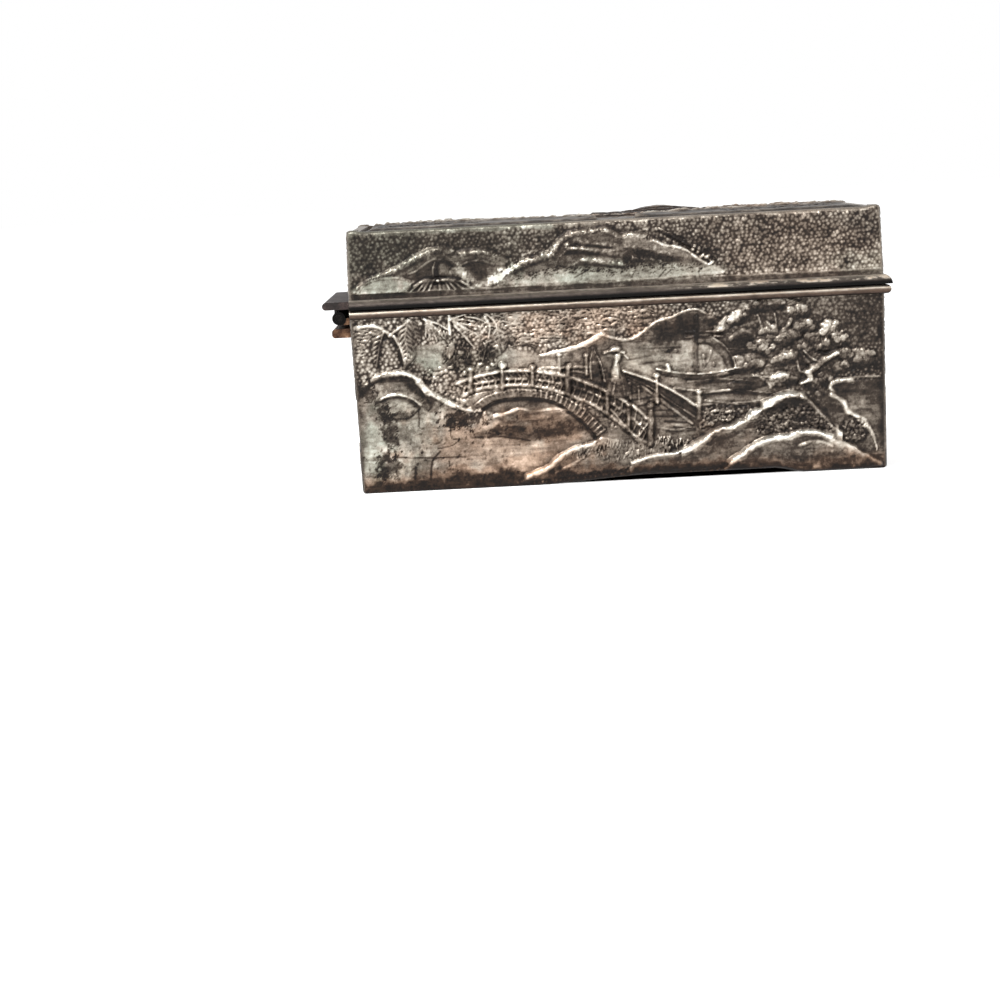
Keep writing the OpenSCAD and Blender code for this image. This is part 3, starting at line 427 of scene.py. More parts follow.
def carveRightShore(r):
    r.flat([(826, 392), (886, 396), (888, 462), (846, 446), (824, 420)], 0.1, tone=-0.08)
    r.flat([(828, 404), (844, 405), (852, 416), (846, 424), (836, 422), (826, 412)], 0.16, tone=-0.32)
    r.ribbon([(836, 394), (848, 402), (853, 412), (862, 416), (871, 424)], 0.6, 0.4, end=1.0, tone=0.16, uneven=1.6)
    r.ribbon([(869, 421), (876, 430), (881, 439), (884, 450)], 1.0, 0.4, end=0.2, tone=0.16, uneven=1.6)
    r.dome((860, 430), (1.9, 1.6), 0.5, turn=-20, tone=-0.2, flat=0.8)
    r.cluster((860, 430), (1.6, 1.4), 60, 0.26, 0.2, over=0.42, tone=-0.06)
    # The long bank with its worn crest, painted highlights along the crest's upper edge and painted shade on the slope
    # below it
    r.hill([(640, 468), (656, 463), (673, 460), (688, 456), (698, 451), (709, 443), (720, 436), (738, 431), (747, 424),
            (757, 416), (768, 410), (781, 400), (793, 395), (804, 391.6), (813, 397), (824, 410), (837, 424), (848, 431)],
           [(636, 476), (700, 474), (850, 464)], 0.82, 0.3, fall=0.9, lip=0.6, tone=-0.04)
    r.ribbon([(650, 465), (673, 460.5), (688, 456), (699, 450), (709, 443)], 1.0, 0.95, end=1.5, sharp=1.3, tone=0.26,
             edge=0.06)
    r.ribbon([(707, 444), (716, 437), (728, 433), (738, 431)], 1.3, 0.8, end=1.1, sharp=1.2, tone=0.02, edge=0.12)
    r.ribbon([(738, 431), (750, 423), (760, 416), (768, 411)], 1.4, 0.95, end=1.1, sharp=1.3, tone=0.08, edge=0.08)
    r.dome((757, 417), (1.2, 0.75), 1.05, turn=38, tone=0.26, flat=1)
    r.ribbon([(770, 409), (781, 402), (793, 397), (806, 397)], 1.9, 1.0, end=1.3, sharp=1.3, tone=0.02, edge=0.06)
    # Painted highlights on the crest's upper edge, then painted shade on the slope below the crest
    r.patch((779, 401), (1.5, 0.55), 0.34, turn=36, ragged=0.3, edge=0.5)
    r.patch((800, 392.5), (1.6, 0.35), 0.24, turn=4, ragged=0.3, edge=0.5)
    r.patch((790, 405), (2.6, 0.6), -0.2, turn=24, ragged=0.3, edge=0.5)
    r.patch((806, 404), (1.4, 0.8), -0.14, turn=-40, ragged=0.3, edge=0.5)
    r.ribbon([(712, 448), (724, 442), (741, 437)], 0.6, 0.35, tone=-0.16)
    r.ribbon([(806, 397), (820, 407), (834, 419), (844, 428)], 0.9, 0.4, end=0.4, sharp=1.4, tone=-0.1)
    r.patch((740, 441), (3.4, 0.7), -0.12, turn=28, ragged=0.4)
    for x, y, w, h, n in ((788, 424, 3.2, 1.7, 120), (814, 423, 2.6, 1.3, 90), (800, 412, 2.2, 0.9, 50),
                          (768, 432, 1.2, 0.9, 30), (832, 431, 1.2, 0.9, 30)):
        r.cluster((x, y), (w, h), n, 0.27, 0.24, over=0.36, tone=-0.02)
        r.patch((x, y), (w, h), -0.12, ragged=0.3)
    for x, y, w, h, n in ((726, 417, 2.9, 1.2, 110), (708, 426, 1.2, 0.8, 24), (748, 416, 1.4, 0.9, 30)):
        r.dome((x, y), (w, h), 0.22, turn=6, tone=-0.1, flat=0.6)
        r.cluster((x, y), (w, h * 0.9), n, 0.25, 0.22, over=0.2, tone=0)
    r.patch((744, 450), (3.0, 1.5), 0.14, turn=32, ragged=0.4)
    # The near bank and its foot
    r.hill([(728, 473), (736, 466), (746, 458), (760, 448), (773, 443), (792, 438), (799, 433), (806, 430.5), (819, 429.8),
            (832, 434.5), (846, 439.5), (861, 446), (890, 462)],
           [(724, 476), (890, 466)], 0.9, 0.42, fall=0.9, lip=0.6, tone=-0.1)
    r.ribbon([(735, 467.5), (746, 459.5), (760, 449.5), (773, 444.5), (790, 440), (799, 434.5), (808, 432), (822, 432),
              (836, 437)], 1.3, 1.05, end=1.1, sharp=1.3, tone=0.3, edge=0.04)
    r.ribbon([(760, 449), (773, 444), (786, 441)], 1.2, 1.0, end=0.9, sharp=1.3, tone=0.1, edge=0)
    r.ribbon([(804, 446), (816, 441.5), (828, 442), (838, 446)], 0.6, 0.62, end=0.4, sharp=1, tone=0.14)
    r.patch((792, 452), (3.4, 0.8), 0.1, turn=6, scale=0.5)
    r.patch((848, 446), (2.6, 0.8), 0.1, turn=-16, scale=0.5)
    r.patch((838, 461), (4.5, 1.2), -0.18, turn=-6)


def carveMound(r):
    r.hill([(522, 479), (532, 474), (547, 468), (555, 462), (562, 456), (575, 450), (595, 445.6), (603, 441), (618, 439),
            (634, 440), (650, 443), (668, 447)],
           [(516, 484), (560, 478), (640, 472), (680, 464)], 0.66, 0.3, fall=0.5, lip=0.4, tone=0)
    r.ribbon([(527, 477), (547, 469), (556, 461), (565, 455), (576, 450), (594, 446)], 1.0, 0.78, end=0.8, sharp=1.2,
             tone=0.28, edge=0.06)
    r.ribbon([(592, 446), (603, 441), (618, 439), (633, 440)], 0.5, 0.6, end=0.4, tone=0.2)
    r.ribbon([(556, 474), (576, 464), (590, 456)], 0.5, 0.44, end=0.3, tone=0.1)
    rng = np.random.default_rng(4)
    for x, y, sx, sy, n in ((584, 455, 20, 3, 22), (604, 449, 26, 3, 26), (624, 458, 22, 6, 20), (652, 446, 22, 4, 26),
                            (648, 455, 24, 4, 18), (676, 448, 12, 5, 10)):
        for i in range(n):
            px, py = x + rng.uniform(-sx, sx), y + rng.uniform(-sy, sy)
            lean = rng.uniform(-2.5, 3.5)
            r.ribbon([(px, py + 3), (px + lean, py - 3)], 0.2, 0.18, end=0.12, over=0.34, tone=-0.04, edge=0.1)
    r.hill([(632, 470), (644, 464), (656, 461), (670, 459.5), (684, 457)], [(630, 480), (690, 474)], 0.7, 0.3, fall=0.4,
           lip=0.35, tone=-0.05)
    r.ribbon([(634, 468), (654, 461.5), (680, 458)], 0.5, 0.75, tone=0.2, edge=0.08)


def carveBridge(r):
    upper = [(455.7, 383), (474, 377), (502.6, 371.1), (531.3, 370.7), (555.3, 374), (574.4, 378.8), (593.5, 386.5),
             (610, 394.5), (625.9, 403.8), (640, 413.5), (650.9, 424.4)]
    middle = [(464, 388), (472, 384.6), (502.6, 379.3), (526.6, 378.8), (551.4, 382.2), (574.4, 387.4), (596.4, 396),
              (616, 408), (634, 422), (648, 436)]
    deck = [(462, 396), (471, 391.2), (488.3, 386.9), (517, 384.5), (540.9, 386.9), (564.8, 393.6), (588.8, 403.7),
            (606.4, 414.6), (620.5, 425.4), (634.6, 438.5), (643.3, 447.1)]
    soffit = [(474, 412), (479, 408.5), (493, 400), (512, 396), (536, 396), (555, 400), (569.6, 409.4), (584, 421),
              (598, 438)]
    # The roadway seen beyond the near rail, with its planks
    r.flat([(574, 368), (600, 364), (628, 374), (660, 388), (702, 412), (700, 430), (668, 426), (656, 446), (640, 444),
            (606, 412), (570, 390)], 0.12, tone=-0.06)
    for k in range(7):
        x, y = 622 + 9 * k, 398 + 5.5 * k
        r.groove([(x, y), (x + 22, y - 4 + k)], 0.3, 0.1, tone=-0.2)
    for x, y in ((636, 391), (648, 399), (660, 408), (676, 418)):
        r.groove([(x, y), (x + 3, y + 5)], 0.25, 0.08, tone=-0.15)
    # Far rails, dark between their bars
    r.flat([(626, 375), (645, 381), (662, 388), (702, 412), (698, 428), (680, 416), (661, 403), (630, 384)], 0.12, tone=-0.2,
           soft=0.15)
    for line, w, high in (([(538, 368.3), (560, 368), (587, 367.6), (606, 372)], 0.4, 0.3),
                          ([(553, 376), (575, 372), (600, 378)], 0.3, 0.24),
                          ([(625.9, 373.4), (645, 380), (658.5, 385.3), (680, 397.2), (700, 410.5)], 0.6, 0.42),
                          ([(630, 382), (645, 390), (661, 401.6), (680, 416), (695, 427.6)], 0.45, 0.34),
                          ([(628, 378), (652, 390), (672, 404), (698, 421)], 0.3, 0.3)):
        r.ribbon(line, w, high, edge=0.16, tone=0.04)
    r.ribbon([(624, 372.5), (645, 379.2), (658.5, 384.8), (681, 397), (700, 410)], 0.2, 0.5, tone=0.2, edge=0)
    for x, y0, y1, w, high in ((560.2, 355, 372, 0.5, 0.36), (587.7, 356, 376, 0.5, 0.4), (659, 378, 406, 0.6, 0.46),
                               (702, 395, 422, 0.7, 0.46), (632, 386, 402, 0.4, 0.34), (641, 389, 404, 0.35, 0.3)):
        r.ribbon([(x, y1), (x - 1, y0)], w, high, edge=0.16, tone=-0.04)
        r.dome((x - 1, y0), (w * 0.8, w * 0.6), high + 0.08, tone=0.02)
    r.ribbon([(594, 350), (596, 366), (599, 386)], 0.9, 0.46, end=1.7, tone=-0.26, edge=0.18, ribs=0.8, rib=0.3)
    r.ribbon([(593, 351), (591, 364), (592, 380)], 0.22, 0.52, tone=0.02)
    r.ribbon([(595, 351), (602, 366), (606, 384)], 0.22, 0.52, tone=0)
    # The arch
    r.flat(deck + soffit[::-1], 0.22, tone=-0.04, soft=0.15)
    r.flat([(480, 410), (493, 401.5), (512, 397.5), (536, 397.5), (555, 401.5), (568, 410), (556, 408), (535, 411),
            (518, 408), (500, 414)], 0.02, tone=-0.1, soft=0.2)
    r.ribbon(soffit, 0.3, 0.34, edge=0.22, tone=0.02)
    inner = [(474, 405), (483, 398.5), (496, 393), (514, 390), (536, 390.5), (556, 394), (574, 403.5), (589, 415), (606, 432)]
    r.flat(inner + soffit[:0:-1], 0.3, tone=-0.2, soft=0.15)
    r.ribbon(inner, 0.26, 0.4, edge=0.12, tone=0.02)
    between(r, inner[:5], soffit[1:5], 15, r.ribbon, width=0.3, height=0.38, edge=0.1, tone=-0.06)
    between(r, inner[4:], soffit[4:], 16, r.ribbon, width=0.36, height=0.46, edge=0.18, tone=0.04)
    r.groove([(x, y + 4.2) for x, y in soffit[1:]], 0.55, 0.12, tone=-0.34)
    rng = np.random.default_rng(8)
    for i in range(34):
        x = rng.uniform(440, 492)
        r.dome((x, 398 - 0.18 * (x - 440) + rng.uniform(-8, 8)), (0.28, 0.22), 0.28, tone=-0.04)
    for i in range(40):
        x = rng.uniform(500, 620)
        y = np.interp(x, [500, 540, 580, 620], [389, 391, 403, 431])
        r.dome((x, y + rng.uniform(-2, 4)), (0.26, 0.2), 0.3, tone=0.02)
    # Rails, posts and balusters on the near side
    for line, w, high, tone in ((deck, 0.62, 0.52, 0.06), (middle, 0.5, 0.46, 0.02), (upper, 0.64, 0.56, 0.08)):
        r.ribbon(line, w, high, edge=0.2, tone=tone, ribs=0.45, rib=0.12)
    between(r, upper, middle, 25, r.ribbon, width=0.28, height=0.4, edge=0.14, tone=-0.1)
    between(r, middle, deck, 31, r.ribbon, width=0.3, height=0.4, edge=0.14, tone=-0.1)
    for x, y0, y1, w in ((470, 369, 391, 0.75), (502, 366, 388, 0.6), (532.6, 367, 385, 0.6), (568.6, 367, 394, 0.75),
                         (608.4, 394, 416, 0.65), (630, 408, 434, 0.6), (652.8, 409, 449, 0.8)):
        r.ribbon([(x, y1), (x, y0)], w * 1.15, 0.62, edge=0.26, tone=-0.22)
        r.dome((x, y0), (w * 0.75, w * 0.55), 0.72, tone=-0.04)
    r.dome((502.5, 364.5), (0.55, 0.5), 0.75, tone=0.16)
    r.ribbon([(612, 412), (634, 437), (648, 447)], 0.35, 0.5, tone=0.04)
    r.ribbon([(652, 424), (638, 444)], 0.35, 0.5, tone=0.02)
    # The walker
    r.flat([(613, 376), (625, 377), (631, 396), (624, 400), (614, 399), (608, 392)], 0.46, tone=-0.22, soft=0.15)
    r.ribbon([(614, 396), (616, 384)], 0.3, 0.6, tone=0.1)
    r.ribbon([(626, 397), (624, 384)], 0.3, 0.6, tone=0.02)
    r.ribbon([(617, 363), (617, 372), (618, 380)], 0.7, 0.62, end=1.7, tone=0.22, edge=0.18)
    r.groove([(618, 364), (621, 380)], 0.2, 0.14, tone=-0.2)
    r.dome((618.5, 358), (0.55, 0.65), 0.56, tone=0.04)
    r.ribbon([(605, 354), (615, 350.5), (625, 354)], 0.55, 0.62, end=0.4, tone=-0.14, edge=0.18)
    r.dome((616, 350), (0.8, 0.42), 0.7, tone=0.08)
    r.ribbon([(625, 356), (629, 360)], 0.3, 0.5, tone=-0.1)


def carveFoliage(r):
    r.flat([(444, 352), (470, 372), (560, 366), (530, 352), (506, 350), (497, 362), (470, 366)], 0.1, tone=0.14)
    r.flat([(416, 346), (440, 344), (452, 358), (446, 370), (424, 368), (414, 358)], 0.1, tone=0.14)
    r.ribbon([(355, 328), (366, 326), (376, 326), (384, 330), (391, 336)], 0.6, 0.34, end=0.5, tone=0.2)
    for k in range(8):
        r.ribbon([(357, 330 + 3.6 * k), (368 - 0.8 * k, 331 + 3.4 * k)], 0.36, 0.26, end=0.2, tone=0.04)
    r.leaf([(384, 330), (378.6, 347), (375, 368)], 1.8, 0.42, veins=1.5, tone=-0.02, sides=(0, 1))
    r.leaf([(380, 331), (368, 340), (360, 354)], 1.5, 0.34, veins=1.5, tone=-0.06, sides=(0, 1))
    r.ribbon([(384, 330), (379, 347), (375.5, 367)], 0.3, 0.46, tone=0.06)
    r.groove([(377, 367), (378.6, 347), (384.9, 337), (391.9, 340), (397.5, 351), (401, 364)], 1.1, 0.22, tone=-0.3)
    r.ribbon([(394, 336), (400, 348), (404, 362)], 0.5, 0.4, tone=0.12)
    r.leaf([(409, 318), (405, 336), (407, 352), (403, 367)], 2.0, 0.46, veins=1.5, tone=0)
    r.leaf([(411, 320), (415, 334), (420, 346)], 1.5, 0.36, veins=1.5, tone=-0.12, sides=(1, 0))
    r.ribbon([(389, 336), (400, 327), (410, 319)], 0.35, 0.36, tone=0.1)
    r.ribbon([(411, 345), (414, 354), (403, 368)], 0.6, 0.36, tone=-0.2)
    for tip in ((425.6, 337), (430, 339.5), (437, 341), (444, 338), (450, 331)):
        mid = ((424 + tip[0]) / 2 + 1.2, (318 + tip[1]) / 2 - 1)
        r.ribbon([(424, 318), mid, tip], 0.5, 0.4, end=0.2, tone=0.06, edge=0.2)
    for k in range(9):
        x = 426 + 3 * k
        r.ribbon([(x, 326 + 0.8 * k), (x + 1.5, 333 + 0.5 * k)], 0.3, 0.3, tone=-0.04)
    r.ribbon([(449.4, 313), (449.4, 324), (450, 334)], 0.45, 0.46, tone=0.2)
    for line in ([(450, 318), (459, 316), (469, 312)], [(452, 320), (463, 319), (475, 321)],
                 [(454, 322), (468, 324), (486, 327)], [(455, 325), (463, 334), (472, 345)],
                 [(458, 324), (470, 330), (480, 336)], [(466, 316), (478, 318), (490, 324)],
                 [(486, 313), (494, 320), (498, 330)], [(485, 316), (490, 326), (488, 342)]):
        r.ribbon(line, 0.5, 0.4, end=0.2, tone=0.05, edge=0.2)
    for k in range(12):
        a, b = 458 + 3.1 * k, 330 + 1.1 * k
        r.ribbon([(a, b), (a + 5, b - 2), (a + 8, b + 2)], 0.3, 0.3, tone=-0.1 if k % 2 else 0.05)
    r.leaf([(497, 328), (499, 342), (489, 360)], 2.2, 0.42, veins=1.3, tone=-0.04)
    r.leaf([(496, 334), (508, 337), (518, 346)], 1.2, 0.36, veins=1.4, tone=-0.08)
    r.ribbon([(508, 336), (514, 345), (526, 344), (534, 346), (538, 352)], 0.4, 0.24, tone=-0.2)
    r.ribbon([(512, 346), (524, 343), (536, 347)], 0.25, 0.28, tone=0.02)
    for x, y, w, h, n in ((458, 355, 2.0, 1.9, 34), (486, 352, 1.4, 1.1, 16)):
        r.patch((x, y), (w, h), -0.3, ragged=0.3)
        rng = np.random.default_rng(int(x))
        for i in range(n):
            a, q = rng.uniform(0, 2 * math.pi), math.sqrt(rng.uniform(0, 1))
            px, py = x + math.cos(a) * q * w * 7, y + math.sin(a) * q * h * 7
            r.ribbon([(px, py - 4), (px + rng.uniform(-2, 2), py), (px + rng.uniform(-4, 4), py + 4)], 0.28, 0.3,
                     end=0.15, tone=-0.02, edge=0.14)
    r.dome((450, 350), (0.5, 1.1), 0.2, turn=-20, tone=0.15)
    r.cluster((429, 377), (0.75, 0.85), 14, 0.28, 0.3, over=0.2, tone=0.0)
    r.dome((502.6, 365), (0.5, 0.5), 0.5, tone=0.2)
    rng = np.random.default_rng(5)
    for i in range(26):
        r.dome((rng.uniform(436, 500), rng.uniform(364, 374)), (0.3, 0.25), 0.25, tone=0.06)


def carveLeftBank(r):
    r.flat([(358, 392), (372, 380), (400, 375), (420, 384), (440, 402), (474, 412), (500, 418), (520, 411), (556, 410),
            (586, 424), (594, 440), (574, 450), (556, 460), (530, 474), (500, 486), (366, 494)], 0.1, tone=0.14, soft=0.3)
    r.ribbon([(364, 387), (372, 379.5), (386, 375), (402, 373.4), (416, 378.6), (424, 388)], 0.8, 0.44, end=1.0, tone=0.02)
    r.ribbon([(396, 372.6), (404, 373), (412, 376), (418, 380)], 0.7, 0.56, end=0.4, tone=0.3, edge=0)
    r.ribbon([(418, 382), (426, 391), (438, 398), (452, 405), (464, 409), (480, 410.5)], 1.0, 0.5, end=0.6, tone=0.25)
    r.ribbon([(379, 400), (389, 395.5), (400, 395.3), (411, 399), (419, 405)], 0.45, 0.3, end=0.3, tone=0.16)
    r.groove([(375, 403), (387, 398.5), (399, 398), (410, 402), (418, 408)], 0.7, 0.1, tone=-0.28)
    r.groove([(362, 392), (370, 383), (384, 379), (398, 379), (408, 384), (418, 394), (430, 403)], 1.1, 0.08, tone=-0.34)
    r.flat([(462, 392), (478, 394), (476, 404), (458, 402)], 0.2, tone=0.14)
    # The far bank under the bridge and its reflections
    r.ribbon([(494, 416), (506, 413.5), (513, 410), (518, 408.2)], 0.6, 0.36, end=0.7, tone=0.34)
    r.ribbon([(518, 408), (524, 409), (535, 411), (545, 409), (556, 408), (568, 410)], 0.5, 0.34, end=0.5, tone=0.34)
    r.ribbon([(570, 410), (580, 418), (588, 427), (594, 436)], 0.6, 0.24, end=0.7, tone=0.12)
    r.flat([(497, 417), (520, 411), (556, 412), (580, 420), (588, 433), (562, 437), (541, 440), (527, 447), (519, 441),
            (500, 438), (480, 432), (498, 425)], 0.08, tone=-0.12, soft=0.35)
    for y in (418, 423, 429):
        r.patch((536, y), (4.4, 0.2), 0.1, turn=2, ragged=0.4, scale=0.5)
    for x, y, w, h, amount, turn in (
            (462, 418, 2.6, 1.1, -0.42, 0), (452, 424, 1.2, 0.8, -0.3, 0), (400, 385, 3.6, 1.0, -0.2, 0),
            (430, 403, 1.6, 1.2, -0.22, -35), (552, 432, 3.4, 0.8, -0.16, 6), (505, 430, 2.4, 0.5, -0.2, 0), (486, 435, 1.8, 0.4, -0.2, 0),
            (388, 430, 0.9, 2.6, -0.3, 4), (384, 468, 1.6, 1.8, -0.3, 30), (376, 474, 1.2, 1.0, -0.15, 0),
            (366, 392, 0.9, 1.2, -0.3, 0), (378, 460, 1.6, 0.5, -0.25, 0), (398, 416, 1.4, 0.5, -0.22, 10),
            (406, 434, 1.2, 1.0, -0.06, 0), (382, 412, 0.8, 1.4, -0.2, 0)):
        r.patch((x, y), (w, h), amount, turn=turn, ragged=0.75, scale=0.45, edge=0.12)
    for line, w in (([(388, 420), (396, 419.5), (408, 417.7), (418, 409)], 0.3), ([(417, 410), (417.5, 418), (417, 426)], 0.25),
                    ([(390, 457.7), (420, 458.4), (464, 457.4)], 0.22), ([(438, 452), (430, 462), (428, 480)], 0.32),
                    ([(413, 468), (412, 480)], 0.4), ([(458, 440), (450, 446), (436, 449)], 0.16),
                    ([(447, 462), (447, 467)], 0.18), ([(449, 424), (450, 438), (458, 439)], 0.18),
                    ([(470, 438), (500, 437), (530, 441)], 0.2), ([(500, 446), (520, 445)], 0.15)):
        r.groove(line, w, 0.07, tone=-0.34)
    rng = np.random.default_rng(11)
    for i in range(150):
        x, y = rng.uniform(372, 520), rng.uniform(404, 480)
        r.patch((x, y), (0.13 + 0.18 * rng.uniform(), 0.12), -0.22, turn=rng.uniform(0, 90), ragged=0.2, scale=0.4)
    for y in (446, 452, 460, 466, 471):
        r.patch((500 + 10 * (y % 3), y), (5.5, 0.28), 0.06, turn=0, ragged=0.4)


def carveBridgeScene(r):
    carveFarShore(r)
    carvePines(r)
    carveBoat(r)
    carveFoliage(r)
    carveLeftBank(r)
    carveRightShore(r)
    carveMound(r)
    carveBridge(r)
    r.ground *= 1 - 0.45 * ease(18, 26, r.X) * ease(12, 15, r.Z)
    rng = np.random.default_rng(12)
    for i in range(150):
        x, y = rng.uniform(490, 650), rng.uniform(300, 344)
        if y < 352 - 0.17 * (x - 490):
            r.ribbon([(x - 6, y + rng.uniform(-1, 1.6)), (x, y - 1), (x + 7, y + rng.uniform(-1, 1.6))], 0.36, 0.2, end=0.2,
                     tone=0.04, edge=0.1)
    r.pebbles(0.58, 0.2)
    # Darker along the foot, towards both ends and towards the right, lighter at the upper left, and tints
    foot = 1.0 + 0.3 * r.noise(2.2, 41) + 0.22 * r.noise(0.6, 42) - 0.012 * r.X
    foot += 0.9 * np.exp(-((r.X + 17) / 5) ** 2)
    r.paint -= 0.4 * (1 - ease(-0.4, 0.5, r.Z - foot))
    r.paint -= 0.25 * (1 - ease(0, 1.2, 35.2 - np.abs(r.X) + 0.3 * r.noise(1.6, 43)))
    r.paint += 0.06 * ease(8, -20, r.X) * ease(12, 18, r.Z)
    r.paint -= 0.14 * ease(8, 20, r.X) * ease(7, 12, r.Z)
    r.paint -= 0.06 * ease(29, 34, r.X)
    # Where the casting is rubbed brighter, by place, half axes and amount
    for x, y, w, h, amount in ((560, 322, 10, 2.2, 0.14), (505, 356, 3.4, 1.6, 0.1), (440, 392, 8, 1.8, 0.1), (500, 388, 5, 1.6, 0.12), (408, 440, 6, 3, 0.08), (790, 420, 4, 1.6, 0.08),
                               (520, 414, 9, 2.6, 0.12), (640, 418, 4, 2, 0.1), (380, 458, 4, 2.6, 0.14),
                               (560, 450, 10, 2, 0.08), (862, 412, 4, 3.4, 0.12), (850, 452, 5, 2, 0.12)):
        r.patch((x, y), (w, h), amount, ragged=0.3, scale=2.5, edge=0.5)
    r.copper += 1 - ease(0, 1.6, r.Z - foot)
    for x, y, w, h, tint in ((490, 452, 11, 4.2, 0.6), (540, 470, 7, 1.6, 0.5), (560, 420, 5, 2, 0.4), (560, 400, 16, 9, 0.3),
                             (720, 446, 4, 2.2, 0.3), (600, 322, 12, 2.4, 0.5), (850, 462, 5, 1.8, 0.6)):
        r.patch((x, y), (w, h), tint, ragged=0.5, scale=2.5, edge=0.5, channel="copper")
    for x, y, w, h, tint in ((408, 420, 4.5, 4, 0.5), (400, 470, 2.6, 1.8, 0.45), (370, 450, 1.4, 5, 0.8),
                             (432, 356, 3, 2, 0.6), (470, 362, 6, 1.4, 0.5), (650, 362, 5, 2, 0.3)):
        r.patch((x, y), (w, h), tint, ragged=0.5, scale=2, edge=0.5, channel="cool")
    r.patch((370, 450), (1.2, 4.6), 0.02, ragged=0.4)
    r.finish()


# Speckles of bare metal along a worn line
def speckle(r, points, reach, tone, seed):
    line = smoothLine(r.place(points), 8)
    line[:, 1] += 0.3 * reach
    win, d, t, side, total = r.near(line, 2.2 * reach)
    grit = ease(0.1, 1.1, (r.noise(0.17, 80 + seed) + 0.6 * r.noise(0.34, 100 + seed))[win])
    share = np.exp(-(d / reach) ** 2) * grit
    r.paint[win] += tone * share
    r.h[win] += 0.07 * share


